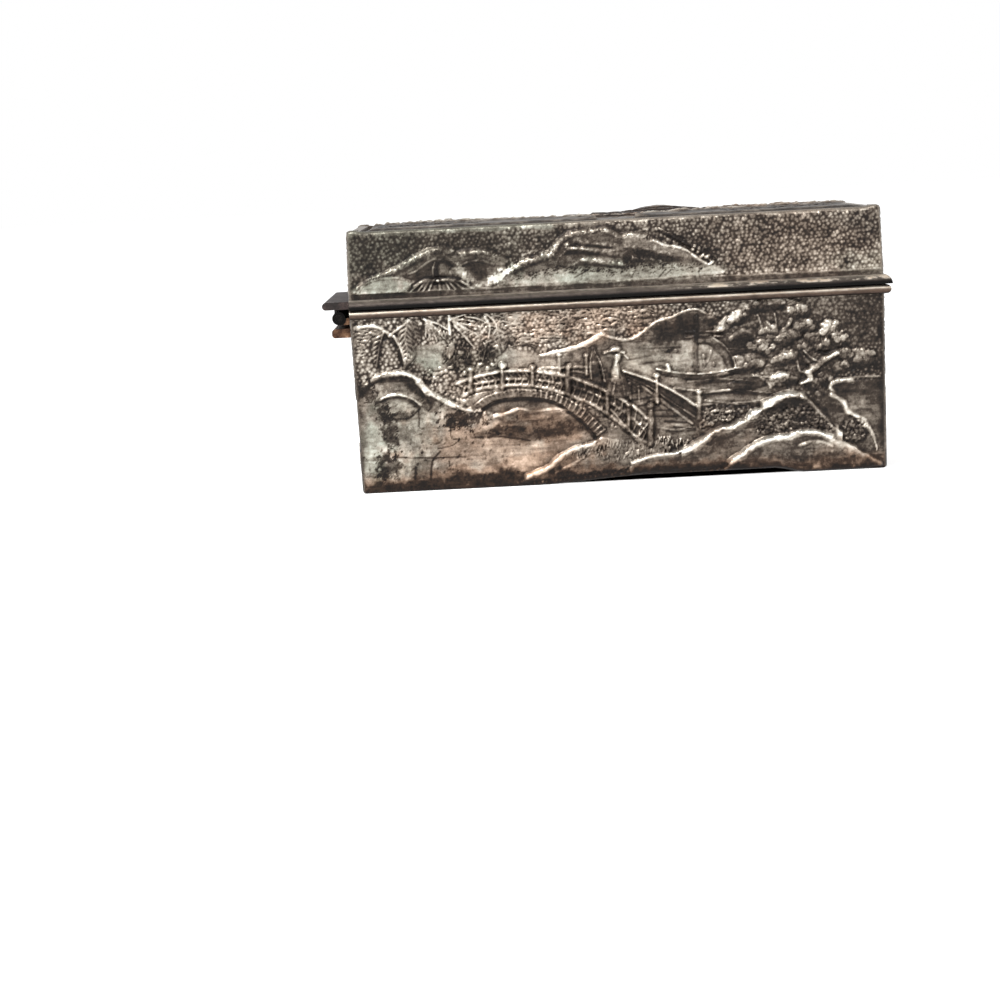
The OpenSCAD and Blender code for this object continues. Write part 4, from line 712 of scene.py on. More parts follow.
def carveMistScene(r):
    # The near hill on the left
    ridge = [(354, 292), (366, 283), (384, 275), (398, 269), (410, 262), (420, 256), (430, 251.5), (441, 250), (450, 253),
             (461, 255), (472, 252), (484, 252), (494, 255), (506, 261)]
    r.hill(ridge, [(350, 302), (430, 297), (512, 280)], 0.44, 0.2, fall=1.1, lip=0.9, tone=0.02)
    r.ribbon(ridge[4:9], 1.6, 0.46, end=1.4, sharp=1.8, tone=-0.08, edge=0.05)
    r.ribbon(ridge[:5], 1.2, 0.38, end=1.4, sharp=1.6, tone=-0.08, edge=0.05)
    r.ribbon(ridge[9:], 1.5, 0.42, end=1.1, sharp=1.8, tone=-0.08, edge=0.05)
    r.groove([(366, 285), (384, 277.5), (400, 272), (414, 264), (426, 258)], 0.6, 0.08, tone=-0.14)
    speckle(r, ridge[:5], 0.5, 0.24, 3)
    speckle(r, ridge[4:9], 0.55, 0.26, 4)
    speckle(r, ridge[8:], 0.5, 0.24, 5)
    r.ribbon([(408, 274), (418, 270), (428, 262), (436, 258)], 0.3, 0.34, tone=0.08)
    # Its pale meadow
    r.flat([(358, 294), (366, 284), (380, 279), (396, 277.5), (408, 280), (410, 288), (396, 294), (364, 297)], 0.3, tone=0.36,
           soft=0.35)
    r.ribbon([(357, 294), (365, 284), (380, 278.5), (396, 277), (410, 280)], 0.3, 0.38, tone=0.12)
    speckle(r, [(360, 298), (380, 297), (402, 292), (412, 284)], 0.4, 0.35, 6)
    # A rock, an arch and the dark bush
    r.flat([(413, 278), (418, 270), (430, 263), (437, 262), (438, 278)], 0.16, tone=-0.12, soft=0.3)
    r.flat([(440, 264), (445, 263), (450, 269), (450, 277), (440, 278)], 0.14, tone=0.12, soft=0.2)
    r.ribbon([(437, 281), (436, 270), (438, 262), (444, 260), (450, 264), (454, 272), (458, 278)], 0.55, 0.36, tone=-0.34,
             edge=0.14)
    r.ribbon([(434, 279), (433, 270), (435, 262)], 0.25, 0.36, tone=0.12)
    r.flat([(461, 266), (466, 261), (480, 260), (493, 264), (490, 272), (476, 277), (464, 274)], 0.2, tone=-0.1, soft=0.6)
    r.flat([(404, 294), (414, 284), (438, 279), (466, 283), (480, 289), (476, 293), (438, 297)], 0.14, tone=0.14, soft=0.4)
    r.ribbon([(462, 264), (472, 261), (482, 260.5), (494, 264)], 0.4, 0.34, tone=0)
    for x, y, w, h, turn, amount in ((459, 272, 0.9, 1.1, 60, 0.34), (466, 276, 1.2, 0.5, -30, 0.24), (499, 275, 1.3, 0.6, 24, 0.6),
                                     (492, 279, 1.6, 0.5, 20, 0.26), (508, 271, 1.6, 0.5, 30, 0.22),
                                     (486, 284, 3.5, 0.6, 3, 0.12), (520, 262, 1.2, 0.5, 26, 0.14)):
        r.patch((x, y), (w, h), amount, turn=turn, ragged=0.6, scale=0.4)
    # A fan of fronds with dark edges
    fronds = []
    for tip, bow in (((408, 294), -3), ((415, 295), -3), ((421, 295), -3), ((428, 294), -2), ((441, 294), 0), ((452, 292), 2),
                     ((458, 291), 2), ((466, 290), 3), ((476, 289), 3), ((470, 284), 2), ((414, 286), -2)):
        mid = (438 + 0.5 * (tip[0] - 438), 279 + 0.28 * (tip[1] - 279) - 1.5)
        r.groove([(438, 280), mid, tip], 0.95, 0.14, end=0.8, tone=-0.22)
        fronds.append([(438, 280), mid, tip])
    for line in fronds:
        r.ribbon(line, 0.42, 0.36, end=0.3, tone=0.2, edge=0.04)
    # The broad hill in the middle with bands of slope and mist at its foot
    ridge = [(503, 277), (515, 269), (525, 261), (534, 256), (543, 256), (551, 254), (555, 248), (561, 240), (569, 235),
             (579, 233), (589, 231.5), (601, 230), (610, 232), (620, 236.5), (633, 235), (643, 237), (654, 240.2),
             (666, 244.6), (679, 246.6), (689, 251), (700, 259), (712, 266), (724, 271)]
    r.hill(ridge, [(496, 284), (560, 282), (640, 279), (724, 273)], 0.52, 0.28, fall=1.0, lip=1.0, tone=0.06)
    r.ribbon([(505, 277), (516, 270), (526, 263), (535, 259)], 1.5, 0.44, end=1.2, sharp=1.6, tone=-0.1, edge=0.05)
    r.ribbon(ridge[4:9], 1.6, 0.52, end=1.4, sharp=1.8, tone=-0.08, edge=0.05)
    r.ribbon(ridge[8:16], 1.5, 0.54, end=1.2, sharp=1.8, tone=-0.08, edge=0.05)
    r.ribbon(ridge[16:], 0.5, 0.6, end=0.6, tone=0.08)
    speckle(r, ridge[:7], 0.9, 0.34, 7)
    speckle(r, ridge[5:12], 0.5, 0.3, 8)
    speckle(r, ridge[10:19], 0.45, 0.28, 9)
    for line, tone in (([(566, 247), (574, 240.5), (586, 241), (600, 244), (616, 246)], 0.1),
                       ([(560, 258), (566, 251), (576, 248), (592, 249.5), (614, 251)], 0.16),
                       ([(572, 265), (580, 260.5), (592, 260), (606, 262), (626, 264)], 0.18),
                       ([(624, 246), (640, 247), (656, 250), (672, 255)], 0.0),
                       ([(634, 258), (650, 258.5), (666, 262)], 0.1)):
        r.ribbon(line, 0.9, 0.4, end=0.6, sharp=1.6, tone=-0.06 + 0.2 * tone, edge=0.08, uneven=1.8)
        speckle(r, line, 0.35, 0.22, 10)
    for line, w in (([(566, 253), (578, 252.5), (596, 254), (616, 257)], 0.9), ([(570, 245), (590, 245.5), (616, 248)], 0.6),
                    ([(572, 269), (580, 265), (600, 265), (628, 268)], 0.6), ([(516, 272), (530, 265), (548, 259)], 0.8),
                    ([(640, 252), (664, 258), (694, 264)], 1.4), ([(690, 257), (706, 266), (720, 271)], 0.8),
                    ([(558, 252), (562, 244), (570, 239)], 0.7)):
        r.groove(line, w, 0.1, end=w * 0.6, tone=-0.2)
    for x, y, w, h, amount in ((630, 257, 1.2, 0.9, -0.24), (648, 257, 1.6, 0.7, -0.14), (668, 258, 2.2, 0.7, -0.14)):
        r.patch((x, y), (w, h), amount, turn=-10, ragged=0.5, scale=0.5)
    r.flat([(500, 283), (528, 275), (550, 268), (566, 267), (600, 270), (640, 267), (676, 263), (700, 263), (722, 272),
            (600, 281), (520, 285)], 0.2, tone=0.31, soft=0.5)
    rng = np.random.default_rng(9)
    for i in range(330):
        x = rng.uniform(512, 706)
        y = np.interp(x, [512, 560, 600, 660, 706], [276, 265, 267, 262, 264]) + abs(rng.normal(0, 4.6))
        r.patch((x, y), (0.1 + 0.07 * rng.uniform(), 0.08), -0.28, turn=rng.uniform(-20, 40), ragged=0.2, scale=0.4)
    for line in ([(575, 277), (589, 269)], [(632, 276), (636, 270)], [(666, 274), (671, 270)], [(660, 276), (666, 269)]):
        r.groove(line, 0.2, 0.04, tone=-0.3)
    # Feathery bamboo behind the right slope, and pale stones
    for i in range(26):
        x, y = 664 + 1.9 * i, 231 + 0.95 * i + 3 * ((i * 7) % 5) / 5
        r.ribbon([(x - 4, y - 3), (x + 2, y), (x + 6, y + 3.4)], 0.34, 0.4, end=0.15, tone=-0.22 if i % 3 else -0.02, edge=0.16)
    r.patch((708, 246), (2.1, 0.8), -0.2, turn=-28)
    for x, y, turn in ((694, 248, 60), (699, 250, 60), (703, 255, 30), (708, 256, 35), (712, 262, 30)):
        r.dome((x, y), (0.5, 0.26), 0.5, turn=turn, tone=0.24)
    # Plain over the moulding and along the top
    hollow = ease(26.55, 26.35, r.Z)
    r.ground *= 1 - hollow
    r.ground *= 0.75 + 0.25 * ease(-22, 6, r.X)
    top = ease(33.7 + 0.5 * ease(-8, 6, r.X), 34.2, r.Z + 0.16 * r.noise(1.4, 51))
    r.ground *= 1 - 0.8 * top
    r.pebbles(0.55, 0.18, contrast=0.34)
    r.h = r.h * (1 - hollow) + 0.1 * hollow
    r.paint = r.paint * (1 - hollow) - 0.06 * hollow
    r.paint += 0.3 * np.exp(-((r.Z - 26.45 - 0.05 * r.noise(2.2, 53)) / 0.12) ** 2) * (0.75 + 0.3 * r.noise(0.6, 54))
    # A painted highlight along the lid's rounded top edge; the band is also tinted cool towards the left
    r.paint += top * (0.26 + 0.1 * r.noise(1.4, 52))
    r.cool += 0.6 * top * ease(0, -14, r.X)
    r.patch((355, 231), (1.0, 0.6), 0.3, ragged=0.4, scale=0.5)
    r.patch((866, 226), (2.5, 2.5), -0.1, ragged=0.6, scale=1.2)
    r.paint += 0.16 * ease(22, 30, r.X) * ease(29.8, 28.6, r.Z) * ease(26, 26.6, r.Z)
    r.paint += 0.12 * ease(12, 14, r.X) * ease(27.3, 26.9, r.Z) * ease(26.2, 26.6, r.Z)
    r.paint -= 0.07 + 0.05 * ease(-6, -20, r.X)
    for x, y, w, h, tint in ((384, 287, 3.2, 1.2, 1.0), (620, 273, 12, 1.4, 0.7), (560, 268, 6, 1.6, 0.4),
                             (440, 240, 14, 5, 0.5), (370, 250, 6, 6, 0.6), (868, 262, 4, 1.4, 0.4)):
        r.patch((x, y), (w, h), tint, ragged=0.4, scale=2, edge=0.5, channel="cool")
    r.patch((800, 250), (12, 5), 0.3, ragged=0.4, scale=3, edge=0.5, channel="copper")
    r.finish()


# The short walls of the base: a leaning pine on a rock, with far hills over still water
def carvePineScene(r):
    r.flat([(-22, 13), (22, 13), (22, 0), (-22, 0)], 0.06, tone=0.08)
    r.hill([(-3, 13.2), (1, 14.6), (4, 16.4), (7, 18.2), (9.5, 17), (13, 15.2), (17, 14.2), (22, 13.6)],
           [(-4, 12.6), (22, 12.8)], 0.4, 0.14, fall=0.6, tone=-0.06)
    r.ribbon([(-2, 13.4), (1, 14.6), (4, 16.4), (7, 18.2), (9.5, 17), (13, 15.2)], 0.45, 0.44, tone=0.14)
    r.ribbon([(-6, 12.5), (4, 12.8), (22, 12.6)], 0.25, 0.2, tone=-0.1)
    for z, x0, x1 in ((11.2, -4, 8), (10.3, 2, 17), (6.6, -2, 9), (5.4, 3, 13), (7.8, 12, 20)):
        r.ribbon([(x0, z), ((x0 + x1) / 2, z + 0.4), (x1, z)], 0.3, 0.18, end=0.15, tone=0.05)
    r.ribbon([(3.4, 9), (5, 8.3), (8, 8.1), (11, 8.5), (12, 9.2)], 0.8, 0.4, tone=-0.16)
    r.ribbon([(3, 9.5), (6, 8.9), (9, 8.8), (12.4, 9.6)], 0.25, 0.5, tone=0.3)
    r.ribbon([(7.4, 8.8), (7.5, 12.6)], 0.35, 0.36)
    r.ribbon([(7.6, 12.2), (9.6, 11.4), (10.4, 9.8)], 1.0, 0.32, end=0.7, tone=-0.1)
    r.hill([(-22, 10), (-18, 10.6), (-14.5, 9), (-11, 5.6), (-7, 3.2), (-3, 1.6), (0, 0.6)], [(-22, 0), (0, 0)],
           0.85, 0.34, fall=0.8, lip=0.45, tone=-0.04)
    r.ribbon([(-21, 10.3), (-17.5, 10.4), (-14.5, 9), (-11, 5.6), (-7, 3.2), (-3.4, 1.9)], 0.8, 0.9, end=0.5, tone=0.16)
    r.hill([(3, 0.8), (8, 2.8), (13, 5.2), (17, 6.2), (22, 5.6)], [(3, 0), (22, 0)], 0.7, 0.3, fall=0.7, lip=0.4, tone=-0.06)
    r.ribbon([(3.6, 1.1), (8, 2.8), (13, 5.2), (17, 6.2), (21, 5.8)], 0.7, 0.75, tone=0.16)
    for x, z, w, h, n in ((-16, 6.4, 2.4, 1.5, 34), (-18.5, 3.6, 2, 1.3, 26), (14.4, 3.2, 2.6, 1.0, 30), (-12.6, 3.4, 1.6, 1, 16)):
        r.cluster((x, z), (w, h), n, 0.38, 0.3, over=0.3, tone=-0.04)
    r.ribbon([(-18.4, 9.6), (-16, 12.6), (-12.2, 13.8), (-9.4, 16.4), (-9, 18.4)], 1.3, 0.7, end=0.5, tone=0.14)
    r.ribbon([(-13.6, 13.5), (-16.4, 15.4), (-18.4, 15.8)], 0.5, 0.5, end=0.3, tone=0.08)
    r.ribbon([(-10.6, 15), (-7, 15.4), (-4.6, 15)], 0.45, 0.5, end=0.3, tone=0.08)
    for x, z, w, h, turn in ((-18, 16.4, 2.8, 1.0, 6), (-15, 17.9, 2.6, 0.9, 0), (-10, 19, 3.0, 0.9, -4), (-5, 16, 2.6, 0.9, 4),
                             (-12, 12, 1.8, 0.7, 0), (-7.6, 17.6, 2.0, 0.7, 8), (-19.6, 13.2, 1.6, 0.8, 0)):
        r.dome((x, z), (w, h), 0.42, turn=turn, ribs=1.7, rib=0.28, tone=-0.08)
        r.cluster((x, z), (w * 0.9, h * 0.8), int(13 * w * h) + 5, 0.38, 0.2, over=0.34, turn=turn, tone=-0.08)
    r.pebbles(0.62, 0.2)
    foot = 1.4 + 0.5 * r.noise(2.2, 41) + 0.4 * r.noise(0.7, 42)
    r.paint -= 0.34 * (1 - ease(-0.4, 0.5, r.Z - foot))
    r.paint -= 0.2 * (1 - ease(0, 1.4, 22 - np.abs(r.X) + 0.4 * r.noise(1.6, 43)))
    for x, z, w, h, tint in ((6, 6, 8, 3, 0.35), (-8, 8, 4, 3, 0.25)):
        r.patch((x, z), (w, h), tint, ragged=0.5, scale=2.5, edge=0.5, channel="copper")
    for i in range(7):
        r.patch((-16 + 5.4 * i, 4 + 7 * ((i * 5) % 3) / 3), (1.8, 0.8), -0.22, ragged=0.7, scale=0.8, edge=0.2)
    r.finish()


# The short walls of the lid: one long hill with mist at its foot and a grove
def carveHillScene(r):
    ridge = [(-20, 26.6), (-15, 28.8), (-10, 30.4), (-6, 32), (-3, 32.4), (0, 31.6), (3, 31.2), (7, 29.6), (11, 27.6), (14, 26.4)]
    r.hill(ridge, [(-20, 26), (14, 26)], 0.6, 0.3, fall=0.8, lip=0.5, tone=-0.1)
    r.ribbon(ridge, 0.5, 0.62, tone=0.16)
    for k in range(3):
        r.ribbon([(-12 + 2 * k, 29 - 0.8 * k), (-5 + k, 30.6 - k), (3 + k, 29.6 - 0.8 * k)], 0.5, 0.46, end=0.3, tone=0.16,
                 edge=0.12, ribs=1.2, rib=0.3)
        r.groove([(-12 + 2 * k, 28.4 - 0.8 * k), (-5 + k, 30 - k), (3 + k, 29 - 0.8 * k)], 0.6, 0.12, tone=-0.2)
    r.flat([(-16, 26.4), (-10, 27.6), (0, 27.6), (9, 27), (12, 26.2), (0, 26)], 0.2, tone=0.16, soft=0.4)
    r.cluster((13.4, 29.4), (2.4, 1.4), 34, 0.4, 0.3, over=0.2, tone=-0.04)
    r.ribbon([(12.4, 26.4), (12.8, 28.6)], 0.35, 0.4, tone=0.05)
    hollow = ease(26.55, 26.35, r.Z)
    r.ground *= 1 - hollow
    r.pebbles(0.55, 0.18, contrast=0.34)
    r.h = r.h * (1 - hollow) + 0.1 * hollow
    r.paint = r.paint * (1 - hollow) - 0.1 * hollow
    # A smooth band along the top edge, painted brighter as a painted highlight
    edge = ease(34.05, 34.4, r.Z + 0.12 * r.noise(0.9, 51))
    r.paint += edge * (0.2 + 0.14 * r.noise(1.4, 52))
    r.ground = r.ground * (1 - edge)
    r.patch((-2, 27), (7, 1.2), 0.7, ragged=0.4, scale=2, edge=0.5, channel="cool")
    r.finish()


# The picture on the top: a mountain over pines and a shore, in the plan's own millimetres
def carveTopScene(r):
    r.flat([(-32, -5), (-12, -4), (8, -5), (32, -4), (32, -19), (-32, -19)], 0.06, tone=0.1)
    for step in range(3):
        r.hill([(-6 + 4 * step, 0 + 2.6 * step), (0 + 3 * step, 5 + 1.5 * step), (7.6, 13.8), (13.5 - 2 * step, 7 + 1.2 * step),
                (22 - 4.4 * step, 0.6 + 2.4 * step)], [(-6 + 4 * step, 2.4 * step - 1), (22 - 4.4 * step, 2.4 * step - 1)],
               0.6 + 0.3 * step, 0.5 + 0.28 * step, fall=1.4, lip=0.6, tone=-0.08 + 0.06 * step, replace=False)
    for side in (-1, 1):
        for k in range(7):
            x, z = 7.6 + side * (0.3 + 0.8 * k), 13 - 1.7 * k
            r.groove([(x, z), (x + side * 1.2, z - 3), (x + side * (1.8 + k), z - 5.6)], 0.5, 0.16, end=0.3, tone=-0.16)
    r.h *= 1 - ease(0, 4, r.Z) * (0.62 - 0.62 * np.exp(-((r.X - 7.4 - 0.15 * (r.X > 7.4)) / 4.2) ** 2))
    r.hill([(13, -3), (18, 1.6), (23, 3.2), (28, 2.4), (32.5, -1)], [(13, -5), (32.5, -5)], 0.66, 0.3, fall=1, lip=0.5, tone=0)
    r.hill([(-32, -1), (-27, 3.6), (-22, 5.2), (-17, 2.6), (-11, -1.6)], [(-32, -5), (-11, -5)], 0.5, 0.26, fall=1, lip=0.5)
    r.ribbon([(-31, 0.6), (-27, 3.6), (-22, 5.2), (-17, 2.6), (-12, -1)], 0.6, 0.56, tone=0.14)
    r.ribbon([(13.6, -2), (18, 1.6), (23, 3.2), (28, 2.4), (31.6, 0)], 0.6, 0.7, tone=0.14)
    for z, x0, x1 in ((-6.4, -14, 0), (-7.6, 8, 24), (-9, -4, 6), (-11, 2, 12), (-5.8, 18, 30), (-12.4, -9, 2)):
        r.ribbon([(x0, z), ((x0 + x1) / 2, z + 0.5), (x1, z)], 0.36, 0.2, end=0.2, tone=0.05)
    r.hill([(-32.5, -8), (-24, -6.8), (-16, -9.4), (-6, -14), (-2, -18)], [(-32.5, -19), (-2, -19)], 0.7, 0.34, fall=1, lip=0.5)
    r.ribbon([(-32, -8), (-24, -6.8), (-16, -9.4), (-6, -14), (-3, -17)], 0.8, 0.78, tone=0.14)
    r.hill([(3, -18), (8, -14.6), (14, -11.4), (22, -10), (32.5, -7.4)], [(3, -19), (32.5, -19)], 0.7, 0.34, fall=1, lip=0.5)
    r.ribbon([(4, -17), (8, -14.6), (14, -11.4), (22, -10), (32, -7.6)], 0.8, 0.78, tone=0.14)
    for x, z, w, h, n in ((-22, -12, 5, 2.4, 60), (20, -14, 6, 2, 60), (27, -11.6, 3, 1.4, 24), (-28, -15, 3, 2, 26)):
        r.cluster((x, z), (w, h), n, 0.5, 0.3, over=0.3, tone=-0.04)
    r.ribbon([(-26, -8), (-25, -3), (-21.5, 1), (-22.5, 7)], 1.4, 0.75, end=0.6, tone=0.12)
    r.ribbon([(-24, -1.6), (-20, 0.6), (-17, 4)], 0.7, 0.6, end=0.4, tone=0.08)
    for x, z, w, h, turn in ((-22.5, 8.6, 4.2, 1.4, 5), (-18, 5, 3.2, 1.2, 10), (-26.4, 4, 3.4, 1.2, -6), (-19.6, 12.2, 3.4, 1.2, 0),
                             (-26, 11.4, 3, 1.1, 0), (-14.6, 8.6, 2.4, 0.9, 0), (27, 8.4, 2.6, 0.8, 0), (22.6, 11.8, 3, 0.8, 6)):
        r.dome((x, z), (w, h), 0.42, turn=turn, ribs=1.3, rib=0.28, tone=-0.06)
        r.cluster((x, z), (w * 0.9, h * 0.8), int(7 * w * h) + 5, 0.5, 0.2, over=0.34, turn=turn, tone=-0.06)
    r.ribbon([(-3.6, -6), (-1, -7.2), (3, -7.4), (7, -6.2)], 1.1, 0.45, end=0.8, tone=-0.14)
    r.ribbon([(-4, -5.4), (-1, -6.5), (3, -6.7), (7.6, -5.4)], 0.35, 0.55, tone=0.24)
    r.ribbon([(2, -6.6), (2.2, 0.4)], 0.5, 0.42)
    r.ribbon([(2.4, -0.2), (5, -1.6), (5.8, -4)], 1.4, 0.4, end=1.0, tone=-0.08)
    r.pebbles(0.66, 0.16)
    r.paint -= 0.16
    for x, z, w, h, tint in ((-4, -9, 8, 3, 0.35), (14, 4, 16, 14, 0.7)):
        r.patch((x, z), (w, h), tint, ragged=0.5, scale=2.5, edge=0.5, channel="copper")
    for i in range(9):
        r.patch((-26 + 6.4 * i, -14 + 9 * ((i * 7) % 4)), (2.4, 1.1), -0.16, ragged=0.7, scale=1, edge=0.25)
    r.finish()


mm = 0.001

# The walls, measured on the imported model
floorLow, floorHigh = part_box("base_floor_plate")
baseLow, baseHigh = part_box("base_rim_moulding")
frontLow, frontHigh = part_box("lid_front_panel")
endLow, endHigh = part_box("lid_free_end_panel")
topLow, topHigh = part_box("lid_top_panel")
leafLow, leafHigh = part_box("hinge_base_leaf")
lidLeafLow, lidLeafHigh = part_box("hinge_lid_leaf")

body = {"length": 70.5, "depth": 44.3, "baseHeight": 24.3, "lidFoot": 24.4, "lidTop": 34.6,
        "baseWall": 2.0, "lidWall": 1.7, "baseLean": 0.6, "lidLean": 0.15, "cornerRound": 0.5,
        "footRound": 0.35, "topRound": 0.5, "footBow": 0.72, "cornerLump": 0.24, "hingeWidth": 38.0, "backTone": 0.4}


def roundDrop(d, radius):
    d = np.clip(d, 0, radius)
    return radius - np.sqrt(radius ** 2 - (radius - d) ** 2)


# A cast wall: a grid carved by a relief, with its back and its mitred ends. It stands at -Y and is turned about Z
def castWall(name, r, long, half, wall, foot, top, lean, leanUp, turn, shy, pocket=None):
    cut = body["cornerRound"] * (1 - math.sqrt(0.5))
    rows, cols = r.h.shape
    bm = bmesh.new()
    bmesh.ops.create_grid(bm, x_segments=cols - 1, y_segments=rows - 1, size=1)
    mesh = bpy.data.meshes.new(name)
    bm.to_mesh(mesh)
    bm.free()
    place = np.empty(len(mesh.vertices) * 3)
    mesh.vertices.foreach_get("co", place)
    place = place.reshape(-1, 3)
    col = np.rint((place[:, 0] + 1) / 2 * (cols - 1)).astype(int)
    row = np.rint((place[:, 1] + 1) / 2 * (rows - 1)).astype(int)

    share = (r.Z - foot) / (top - foot)
    slope = lean * (1 - share if leanUp else share)
    limit = long / 2
    inset = limit - np.abs(r.X)
    drop = roundDrop(inset, body["cornerRound"])
    if leanUp:
        drop = np.maximum(drop, roundDrop(r.Z - foot, body["footRound"]))
        r.calmRims(np.minimum(inset, top - r.Z), 0.36)
        bow = ease(-12, 4, r.X) * ease(24.5, 20, r.X) if long > body["depth"] else 0
        rise = body["footBow"] * bow * (1 - share)
    else:
        drop = np.maximum(drop, roundDrop(top - r.Z, body["topRound"]))
        r.calmRims(np.minimum(inset, top - r.Z), 0.5)
        rise = body["cornerLump"] * np.exp(-((inset - 0.8) / 0.75) ** 2) * ease(top - 1.4, top - 0.2, r.Z)
    fade = ease(0.15, 1.0, inset)
    height = np.minimum(r.h * fade, 0.08 + shy * inset)
    if pocket:
        low, high, reach, deep = pocket
        inside = (r.Z >= low) & (r.Z <= high) & (np.abs(r.X) <= reach)
        height = np.where(inside, -deep, height * ease(0, 0.4, np.maximum(low - r.Z, np.abs(r.X) - reach)
                                                       if leanUp else np.maximum(r.Z - high, np.abs(r.X) - reach)))
        drop = np.where(inside, 0, drop)
    x = r.X * (1 - slope / limit)
    y = -(half - slope - drop + height)
    z = r.Z + rise
    co = np.stack([x[row, col], y[row, col], z[row, col]], axis=1)
    mesh.vertices.foreach_set("co", co.ravel() * mm)
    for layer in ("tone", "copper", "cool"):
        values = mesh.attributes.new(layer, "FLOAT", "POINT")
        values.data.foreach_set("value", getattr(r, layer)[row, col])

    bm = bmesh.new()
    bm.from_mesh(mesh)
    for face in bm.faces:
        face.smooth = True
    rim = [e for e in bm.edges if e.is_boundary]
    made = bmesh.ops.extrude_edge_only(bm, edges=rim)
    back = [v for v in made["geom"] if isinstance(v, bmesh.types.BMVert)]
    layer = bm.verts.layers.float["tone"]
    for v in back:
        v[layer] = body["backTone"]
        v.co.x = max(-(limit - wall) * mm, min((limit - wall) * mm, v.co.x))
        v.co.y = -(half - wall) * mm
    bmesh.ops.contextual_create(bm, geom=[e for e in bm.edges if e.is_boundary])
    for edge in rim:
        edge.smooth = False
    for face in made["geom"]:
        if isinstance(face, bmesh.types.BMFace):
            face.smooth = False
    bmesh.ops.rotate(bm, verts=bm.verts, cent=(0, 0, 0), matrix=Matrix.Rotation(math.radians(turn), 3, "Z"))
    bmesh.ops.recalc_face_normals(bm, faces=bm.faces)
    bm.to_mesh(mesh)
    bm.free()
    piece = bpy.data.objects.new(name, mesh)
    bpy.context.collection.objects.link(piece)
    return piece


# The lid's top plate, carved from above, with its sides down to the plate's underside
def castTop(name, r, rimLow, under):
    rows, cols = r.h.shape
    bm = bmesh.new()
    bmesh.ops.create_grid(bm, x_segments=cols - 1, y_segments=rows - 1, size=1)
    mesh = bpy.data.meshes.new(name)
    bm.to_mesh(mesh)
    bm.free()
    place = np.empty(len(mesh.vertices) * 3)
    mesh.vertices.foreach_get("co", place)
    place = place.reshape(-1, 3)
    col = np.rint((place[:, 0] + 1) / 2 * (cols - 1)).astype(int)
    row = np.rint((place[:, 1] + 1) / 2 * (rows - 1)).astype(int)
    inset = np.minimum(r.x[-1] - np.abs(r.X), r.z[-1] - np.abs(r.Z))
    inner = ease(0.75, 1.15, inset)
    z = body["lidTop"] - rimLow * (1 - inner) + r.h * inner * ease(0.9, 2.2, inset)
    co = np.stack([r.X[row, col], r.Z[row, col], z[row, col]], axis=1)
    mesh.vertices.foreach_set("co", co.ravel() * mm)
    r.tone = np.clip(r.tone - 0.2 * (1 - inner), 0, 1)
    for layer in ("tone", "copper", "cool"):
        values = mesh.attributes.new(layer, "FLOAT", "POINT")
        values.data.foreach_set("value", getattr(r, layer)[row, col])
    bm = bmesh.new()
    bm.from_mesh(mesh)
    for face in bm.faces:
        face.smooth = True
    rim = [e for e in bm.edges if e.is_boundary]
    made = bmesh.ops.extrude_edge_only(bm, edges=rim)
    layer = bm.verts.layers.float["tone"]
    for v in made["geom"]:
        if isinstance(v, bmesh.types.BMVert):
            v.co.z = under * mm
            v[layer] = body["backTone"]
        if isinstance(v, bmesh.types.BMFace):
            v.smooth = False
    bmesh.ops.contextual_create(bm, geom=[e for e in bm.edges if e.is_boundary])
    for edge in rim:
        edge.smooth = False
    bmesh.ops.recalc_face_normals(bm, faces=bm.faces)
    bm.to_mesh(mesh)
    bm.free()
    piece = bpy.data.objects.new(name, mesh)
    bpy.context.collection.objects.link(piece)
    return piece


class Nodes:
    def __init__(self, name):
        self.material = bpy.data.materials.new(name)
        self.material.use_nodes = True
        self.tree = self.material.node_tree
        self.shader = self.tree.nodes["Principled BSDF"]

    def add(self, kind, **values):
        node = self.tree.nodes.new("ShaderNode" + kind)
        for key, value in values.items():
            setattr(node, key, value)
        return node

    def join(self, a, b):
        self.tree.links.new(a, b)

    def spot(self):
        return self.add("TexCoord").outputs["Object"]

    def attribute(self, name):
        return self.add("Attribute", attribute_name=name).outputs["Fac"]

    def math(self, kind, a, b, clamp=False):
        node = self.add("Math", operation=kind, use_clamp=clamp)
        for socket, value in zip(node.inputs, (a, b)):
            if isinstance(value, (int, float)):
                socket.default_value = value
            else:
                self.join(value, socket)
        return node.outputs[0]

    def noise(self, size, detail=4, rough=0.6, stretch=(1, 1, 1)):
        mapping = self.add("Mapping")
        mapping.inputs["Scale"].default_value = [s / (size * mm) for s in stretch]
        self.join(self.spot(), mapping.inputs["Vector"])
        node = self.add("TexNoise")
        node.inputs["Scale"].default_value = 1
        node.inputs["Detail"].default_value = detail
        node.inputs["Roughness"].default_value = rough
        self.join(mapping.outputs[0], node.inputs["Vector"])
        return node.outputs["Fac"]

    def ramp(self, value, stops):
        node = self.add("ValToRGB")
        ends = node.color_ramp.elements
        while len(ends) < len(stops):
            ends.new(0.5)
        for element, (at, colour) in zip(ends, stops):
            element.position = at
            element.color = (*[linear(c) for c in colour], 1)
        self.join(value, node.inputs["Fac"])
        return node.outputs["Color"]

    def spread(self, value, low, high):
        node = self.add("MapRange")
        node.inputs["To Min"].default_value = low
        node.inputs["To Max"].default_value = high
        self.join(value, node.inputs["Value"])
        return node.outputs["Result"]

    def tint(self, base, share, colour, how="MULTIPLY"):
        node = self.add("Mix", data_type="RGBA", blend_type=how)
        node.inputs["B"].default_value = (*[linear(c) for c in colour], 1)
        self.join(share, node.inputs["Factor"])
        self.join(base, node.inputs["A"])
        return node.outputs["Result"]

    def bump(self, height, depth, strength):
        node = self.add("Bump")
        node.inputs["Distance"].default_value = depth * mm
        node.inputs["Strength"].default_value = strength
        self.join(height, node.inputs["Height"])
        self.join(node.outputs[0], self.shader.inputs["Normal"])


